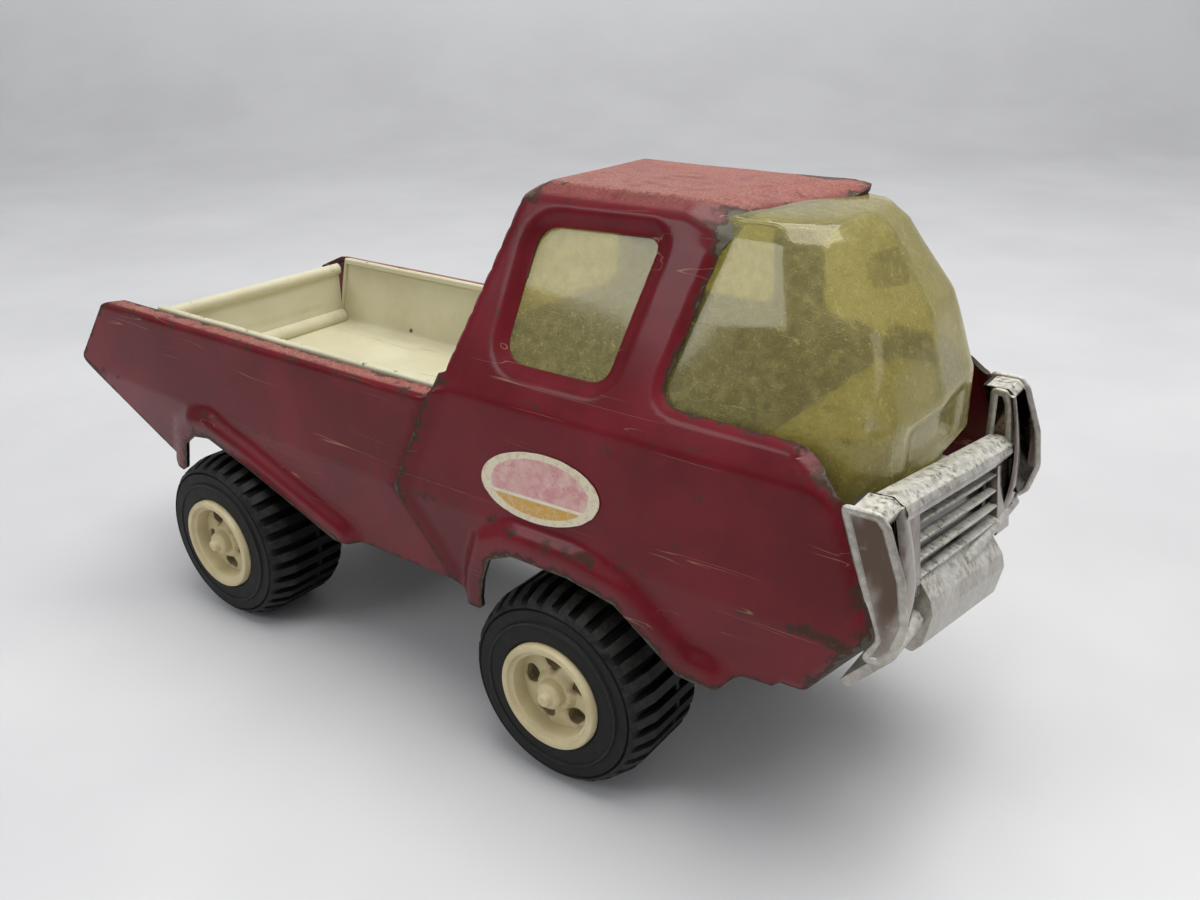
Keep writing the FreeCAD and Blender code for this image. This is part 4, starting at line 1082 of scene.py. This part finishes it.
def tyre_mesh(name):
    """Tyre about Z with its outer face up; heights are distances from the truck's middle."""
    inner, outer, bore = 20.5, 44.3, 12.03
    face = [(bore, outer - 0.5), (bore + 0.5, outer - 0.15), (14.2, outer - 0.1), (15.6, outer - 0.25),
            (15.9, outer), (16.4, outer), (16.7, outer - 0.5), (18.9, outer - 0.55),
            (19.2, outer - 1.0), (19.5, outer - 0.6), (20.0, outer - 1.0)]
    raised_rings = (4, 5, 8, 9, 10)
    shoulder = [(20.7, outer - 1.7), (21.2, outer - 2.9), (21.6, outer - 4.3), (21.95, outer - 5.4)]
    rib_at = outer - 0.62 * (outer - inner)
    tread = [(22.2, h) for h in (outer - 6.2, outer - 9.0, outer - 12.0, rib_at + 0.75, rib_at + 0.5,
                                 rib_at, rib_at - 0.5, rib_at - 0.75, rib_at - 3.0, inner + 3.4)]
    back = [(21.9, inner + 2.6), (21.3, inner + 1.5), (20.3, inner + 0.7), (19.0, inner + 0.1),
            (14.5, inner), (13.4, inner + 0.8), (13.0, inner + 3.0), (bore, inner + 3.2)]
    profile = face + shoulder + tread + back
    shoulder_from, tread_from = len(face), len(face) + len(shoulder)
    depth = [0.0] * shoulder_from + [0.35, 0.9, 1.4, 1.7]
    depth += [0.35 if abs(h - rib_at) < 0.6 else 1.9 for _, h in tread + back[:2]]
    depth += [0.0] * (len(profile) - len(depth))
    rings, wear = [], []
    for bar in range(TREAD_BARS):
        for step in PITCH_STEPS:
            angle = 2 * math.pi * (bar + step) / TREAD_BARS
            groove = 1.0 if GROOVE[0] <= step <= GROOVE[1] else 0.0
            ring = []
            for index, (r, h) in enumerate(profile):
                reach = r - depth[index] * groove
                ring.append((reach * math.cos(angle), reach * math.sin(angle), h))
                dust = 0.7 if index in raised_rings else 0.12
                if shoulder_from <= index <= tread_from and not groove:
                    dust = 0.75
                wear.append(dust if index <= tread_from else 0.16 * (1 - groove))
            rings.append(ring)
    vertices, faces = grid_surface(rings, close_u=True, close_v=True)
    return make_object(name, vertices, faces, wear, sharp=32)


def hub_mesh(name):
    """Dished hub about Z with five teardrop holes, a rim ring and a tube for the axle."""
    face, edge = HUB_FACE, 11.97
    rim = [(edge, 24.2), (edge, face - 0.7), (edge - 0.3, face - 0.15), (edge - 0.9, face),
           (edge - 1.5, face - 0.15), (edge - 1.8, face - 0.8), (edge - 2.1, face - 1.0),
           (edge - 2.5, face - 1.1), (edge - 2.7, face - 1.5), (edge - 3.0, face - 3.9),
           (edge - 3.0, face - 5.4), (edge - 1.4, face - 5.4), (edge - 1.4, 24.2)]
    pieces = [revolved(name + "_rim", rim, 120)]
    dish = 9.1
    outline = [(8.3, -1.4), (8.3, 1.4), (7.2, 2.5), (5.6, 1.9), (4.4, 0.0), (5.6, -1.9), (7.2, -2.5)]
    holes = []
    for turn in around(5):
        turn += math.radians(9)
        spun = [(u * math.cos(turn) - v * math.sin(turn), u * math.sin(turn) + v * math.cos(turn))
                for u, v in outline]
        holes.append(rounded(spun, [0.9, 0.9, 1.1, 1, 1.2, 1, 1.1], closed=True, steps=4))
    circle = [(dish * math.cos(a), dish * math.sin(a)) for a in around(96)]
    flat, faces, loops = triangulated(circle, holes, (0.55, 0.55))
    radius = np.linalg.norm(flat, axis=1)
    level = np.interp(radius, [0, 1.6, 1.7, 4.3, 4.75, 9.0, 9.1],
                      [face - 2.6, face - 2.6, face - 2.6, face - 2.7, face - 3.9, face - 4.1, face - 4.1])
    near_hole = np.minimum.reduce([distance_to(flat, loop, closed=True) for loop in loops[1:]])
    level = level - 0.35 * smooth_step(1 - near_hole / 0.5)
    wear = 0.65 * np.exp(-near_hole / 0.5) + 0.6 * np.exp(-np.abs(radius - 4.8) / 0.35)
    wear += 0.7 * np.exp(-np.abs(radius - 9.0) / 0.5)
    bore = 1.62
    kept = [f for f in faces if all(radius[i] > bore for i in f)]
    pieces.append(thickened(name + "_dish", np.column_stack([flat, level]), kept, 1.3, wear, sharp=50))
    for loop in loops[1:]:
        rings = [[(x, y, h) for x, y in loop] for h in (face - 4.4, face - 7.5)]
        vertices, pocket = grid_surface(rings, close_u=True)
        centre = loop.mean(0)
        count, floor = len(loop), len(vertices)
        vertices += [(x, y, face - 7.6) for x, y in centre + (loop - centre) * 0.98]
        pocket.append(list(range(floor, len(vertices))))
        pocket += [[count + i, count + (i + 1) % count, floor + (i + 1) % count, floor + i]
                   for i in range(count)]
        # Painted shade: the pockets are marked dark for the shade inside them.
        pieces.append(thickened(name + "_pocket", np.array(vertices), pocket, 0.3,
                                np.full(len(vertices), 0.95), sharp=50))
    tube = rectangle(1.57, 16.6, 3.6, face - 5.6)
    pieces.append(revolved(name + "_tube", tube, 48))
    return joined(name, pieces)


def cap_mesh(name):
    """Domed cap on the axle's end."""
    face = HUB_FACE
    profile = [(0.0, 46.6), (0.9, 46.6), (1.35, 46.4), (1.7, 45.3), (2.5, 45.0), (2.95, 44.4), (3.1, 42.6),
               (2.45, 42.6), (2.3, face - 1.7), (0.0, face - 1.6)]
    smooth = rounded(profile, [0, 0.3, 0.4, 0.3, 0.4, 0.3, 0, 0, 0, 0], steps=4)
    return revolved(name, [(max(p.x, 0.001), p.y) for p in smooth], 48, close=False)


def make_wheels(rubber, plastic):
    """Tyre, hub and cap at each corner; the hubs are turned as in the photograph."""
    for end, station, spin in (("front", FRONT_AXLE_X, 17), ("rear", REAR_AXLE_X, 40)):
        for side, turn in (("left", -90), ("right", 90)):
            corner = end + "_" + side
            seat = moved(station, 0, AXLE_Z) @ turned(turn, "X")
            spun = seat @ turned(spin, "Z")
            for maker, kind, node, slot, look, place in (
                    (tyre_mesh, "tyre_tread_", "tyre_", "tyre_rubber", rubber, seat),
                    (hub_mesh, "hub_dish_", "hub_", "hub_plastic", plastic, spun),
                    (cap_mesh, "hub_centre_", "hub_cap_", "hub_plastic", plastic, spun)):
                piece = maker(kind + corner)
                piece.data.transform(place)
                finish_piece(piece, "wheel_" + corner, slot, look, node + corner)


# --- labels ---

LABEL_CENTRE, LABEL_SIZE, LABEL_TILT = (46.4, 65.8), (29.2, 14.6), math.radians(5)


def make_label(side):
    """Thin oval label following the cab's side."""
    sign = 1 if side == "left" else -1
    cosine, sine = math.cos(LABEL_TILT), math.sin(LABEL_TILT)
    ring = []
    for angle in around(72):
        ragged = 1 - 0.02 * max(0, noise.noise(Vector((6 * math.cos(angle), 6 * math.sin(angle), sign))))
        u = LABEL_SIZE[0] / 2 * math.cos(angle) * ragged
        v = LABEL_SIZE[1] / 2 * math.sin(angle) * ragged
        ring.append((u * cosine - v * sine + LABEL_CENTRE[0], u * sine + v * cosine + LABEL_CENTRE[1]))
    flat, faces, _ = triangulated(ring, [], (1.2, 1.0))
    s = np.array([cab_section.at_height(z) for z in flat[:, 1]])
    half, z, out_y, out_z = cab_section.place(s)
    developed = s if sign > 0 else 2 * cab_section.length - s
    lift = 0.2 + dents(flat[:, 0], developed, 1)
    vertices = np.column_stack([flat[:, 0], sign * (half + out_y * lift), z + out_z * lift])
    if sign < 0:
        faces = [face[::-1] for face in faces]
    piece = thickened("label_oval_" + side, vertices, faces, 0.12)
    look = label_foil("label_foil_" + side, LABEL_CENTRE, LABEL_SIZE, LABEL_TILT)
    finish_piece(piece, "truck", "label_foil", look, "label_" + side)


# --- stage, light and camera ---

def make_stage():
    """Pale table sweeping up into a backdrop, with faint dust."""
    n = Nodes("pale_table")
    fine = n.noise(1.5, 4, 0.7)
    colour = n.mottled(120, 3, (0.60, 0.60, 0.61), (0.655, 0.655, 0.66))
    # Painted light: the sweep is made paler higher up, where the backdrop shows brighter.
    colour = n.mix(n.ramp(n.split(n.place)[2], 0.0, 0.25), colour, (0.86, 0.865, 0.865))
    colour = n.mix(n.ramp(fine, 0.74, 0.78) * 0.35, colour, (0.40, 0.39, 0.37))
    material = n.principled(Base_Color=colour, Roughness=0.55, Normal=n.bump(fine, 0.05, 0.0001))
    flat_to, sweep = 0.75, 0.45
    profile = [(-1.2, 0.0), (flat_to, 0.0)]
    profile += [(flat_to + sweep * math.sin(a), sweep - sweep * math.cos(a)) for a in np.linspace(0.1, 1.5, 14)]
    profile += [(1.2, 1.5)]
    backdrop_towards = math.radians(126)
    cosine, sine = math.cos(backdrop_towards), math.sin(backdrop_towards)
    rings = [[(along * cosine - across * sine, along * sine + across * cosine, height)
              for along, height in profile] for across in np.linspace(-1.8, 1.8, 3)]
    vertices, faces = grid_surface(rings)
    table = make_object("table", np.array(vertices) / MM, faces, sharp=80)
    table.data.materials.append(material)


def add_light(name, place, aim, size, power, colour=(1, 1, 1)):
    data = bpy.data.lights.new(name, "AREA")
    data.shape = "RECTANGLE"
    data.size, data.size_y = size
    data.energy = power
    data.color = colour
    light = bpy.data.objects.new(name, data)
    light.location = place
    light.rotation_euler = (Vector(aim) - Vector(place)).to_track_quat("-Z", "Y").to_euler()
    bpy.context.scene.collection.objects.link(light)


def make_light():
    world = bpy.data.worlds.new("room")
    bpy.context.scene.world = world
    world.use_nodes = True
    tree = world.node_tree
    back = tree.nodes["Background"]
    split = tree.nodes.new("ShaderNodeSeparateXYZ")
    ramp = tree.nodes.new("ShaderNodeValToRGB")
    tree.links.new(tree.nodes.new("ShaderNodeTexCoord").outputs["Generated"], split.inputs[0])
    tree.links.new(split.outputs[2], ramp.inputs[0])
    tree.links.new(ramp.outputs[0], back.inputs[0])
    ramp.color_ramp.elements[0].color = (0.20, 0.20, 0.21, 1)
    ramp.color_ramp.elements[1].color = (0.95, 0.96, 1.0, 1)
    middle = ramp.color_ramp.elements.new(0.35)
    middle.color = (0.38, 0.39, 0.41, 1)
    back.inputs[1].default_value = 0.68
    add_light("softbox", (0.15, 0.1, 0.95), (0, 0, 0.03), (0.9, 0.7), 8.5, (1.0, 0.99, 0.97))
    add_light("window_light", (-0.5, -0.9, 0.75), (0, 0, 0.05), (0.5, 0.35), 2.4, (0.95, 0.97, 1.0))
    add_light("front_fill", (1.0, 0.1, 0.5), (0.05, 0, 0.06), (0.4, 0.4), 0.9)


def make_camera():
    """Camera near the truck's front right corner, looking back and down at it."""
    scene = bpy.context.scene
    data = bpy.data.cameras.new("camera")
    data.sensor_width = 36.0
    data.lens = 31.37
    data.clip_start = 0.01
    camera = bpy.data.objects.new("camera", data)
    heading = Vector((-0.5382, 0.7374, -0.4080)).to_track_quat("-Z", "Y").to_matrix().to_4x4()
    camera.matrix_world = moved(162.8, -178.7, 155.0) @ heading @ turned(-0.27, "Z")
    scene.collection.objects.link(camera)
    scene.camera = camera
    scene.view_settings.view_transform = "Standard"


# --- the whole truck ---

red, cream, steel = red_enamel(), cream_enamel(), bare_steel()
finish_piece(make_cab(), "truck", "red_enamel", red, "cab_shell")
finish_piece(make_bed(), "truck", "red_enamel", red, "bed_shell")
finish_piece(make_liner(), "truck", "cream_enamel", cream, "bed_liner")
finish_piece(make_tailgate(), "tailgate", "cream_enamel", cream, "tailgate")
finish_piece(make_glazing(), "truck", "clear_plastic", clear_plastic(), "window_moulding")
finish_piece(make_grille(), "truck", "plated_plastic", plated_plastic(), "grille_bumper")
tray_look = moulded_plastic("cream_plastic", (0.74, 0.71, 0.52), (0.66, 0.62, 0.44), (0.10, 0.09, 0.06))
finish_piece(make_tray(), "truck", "cream_plastic", tray_look, "interior_tray")
seat_look = moulded_plastic("grey_plastic", (0.055, 0.055, 0.052), (0.030, 0.030, 0.030), (0.10, 0.095, 0.08))
for seat_side in ("left", "right"):
    finish_piece(make_seat(seat_side), "truck", "grey_plastic", seat_look, "seat_" + seat_side)
    make_label(seat_side)
make_wheels(tyre_rubber(), hub_plastic())
for node_name in ("chassis", "cab_crossmember", "bed_rivets", "tray_screws", "front_axle", "rear_axle",
                  "tailgate_rod"):
    node = frame["nodes"][node_name]
    node.data.materials.clear()
    node.data.materials.append(steel)

make_stage()
make_light()
make_camera()
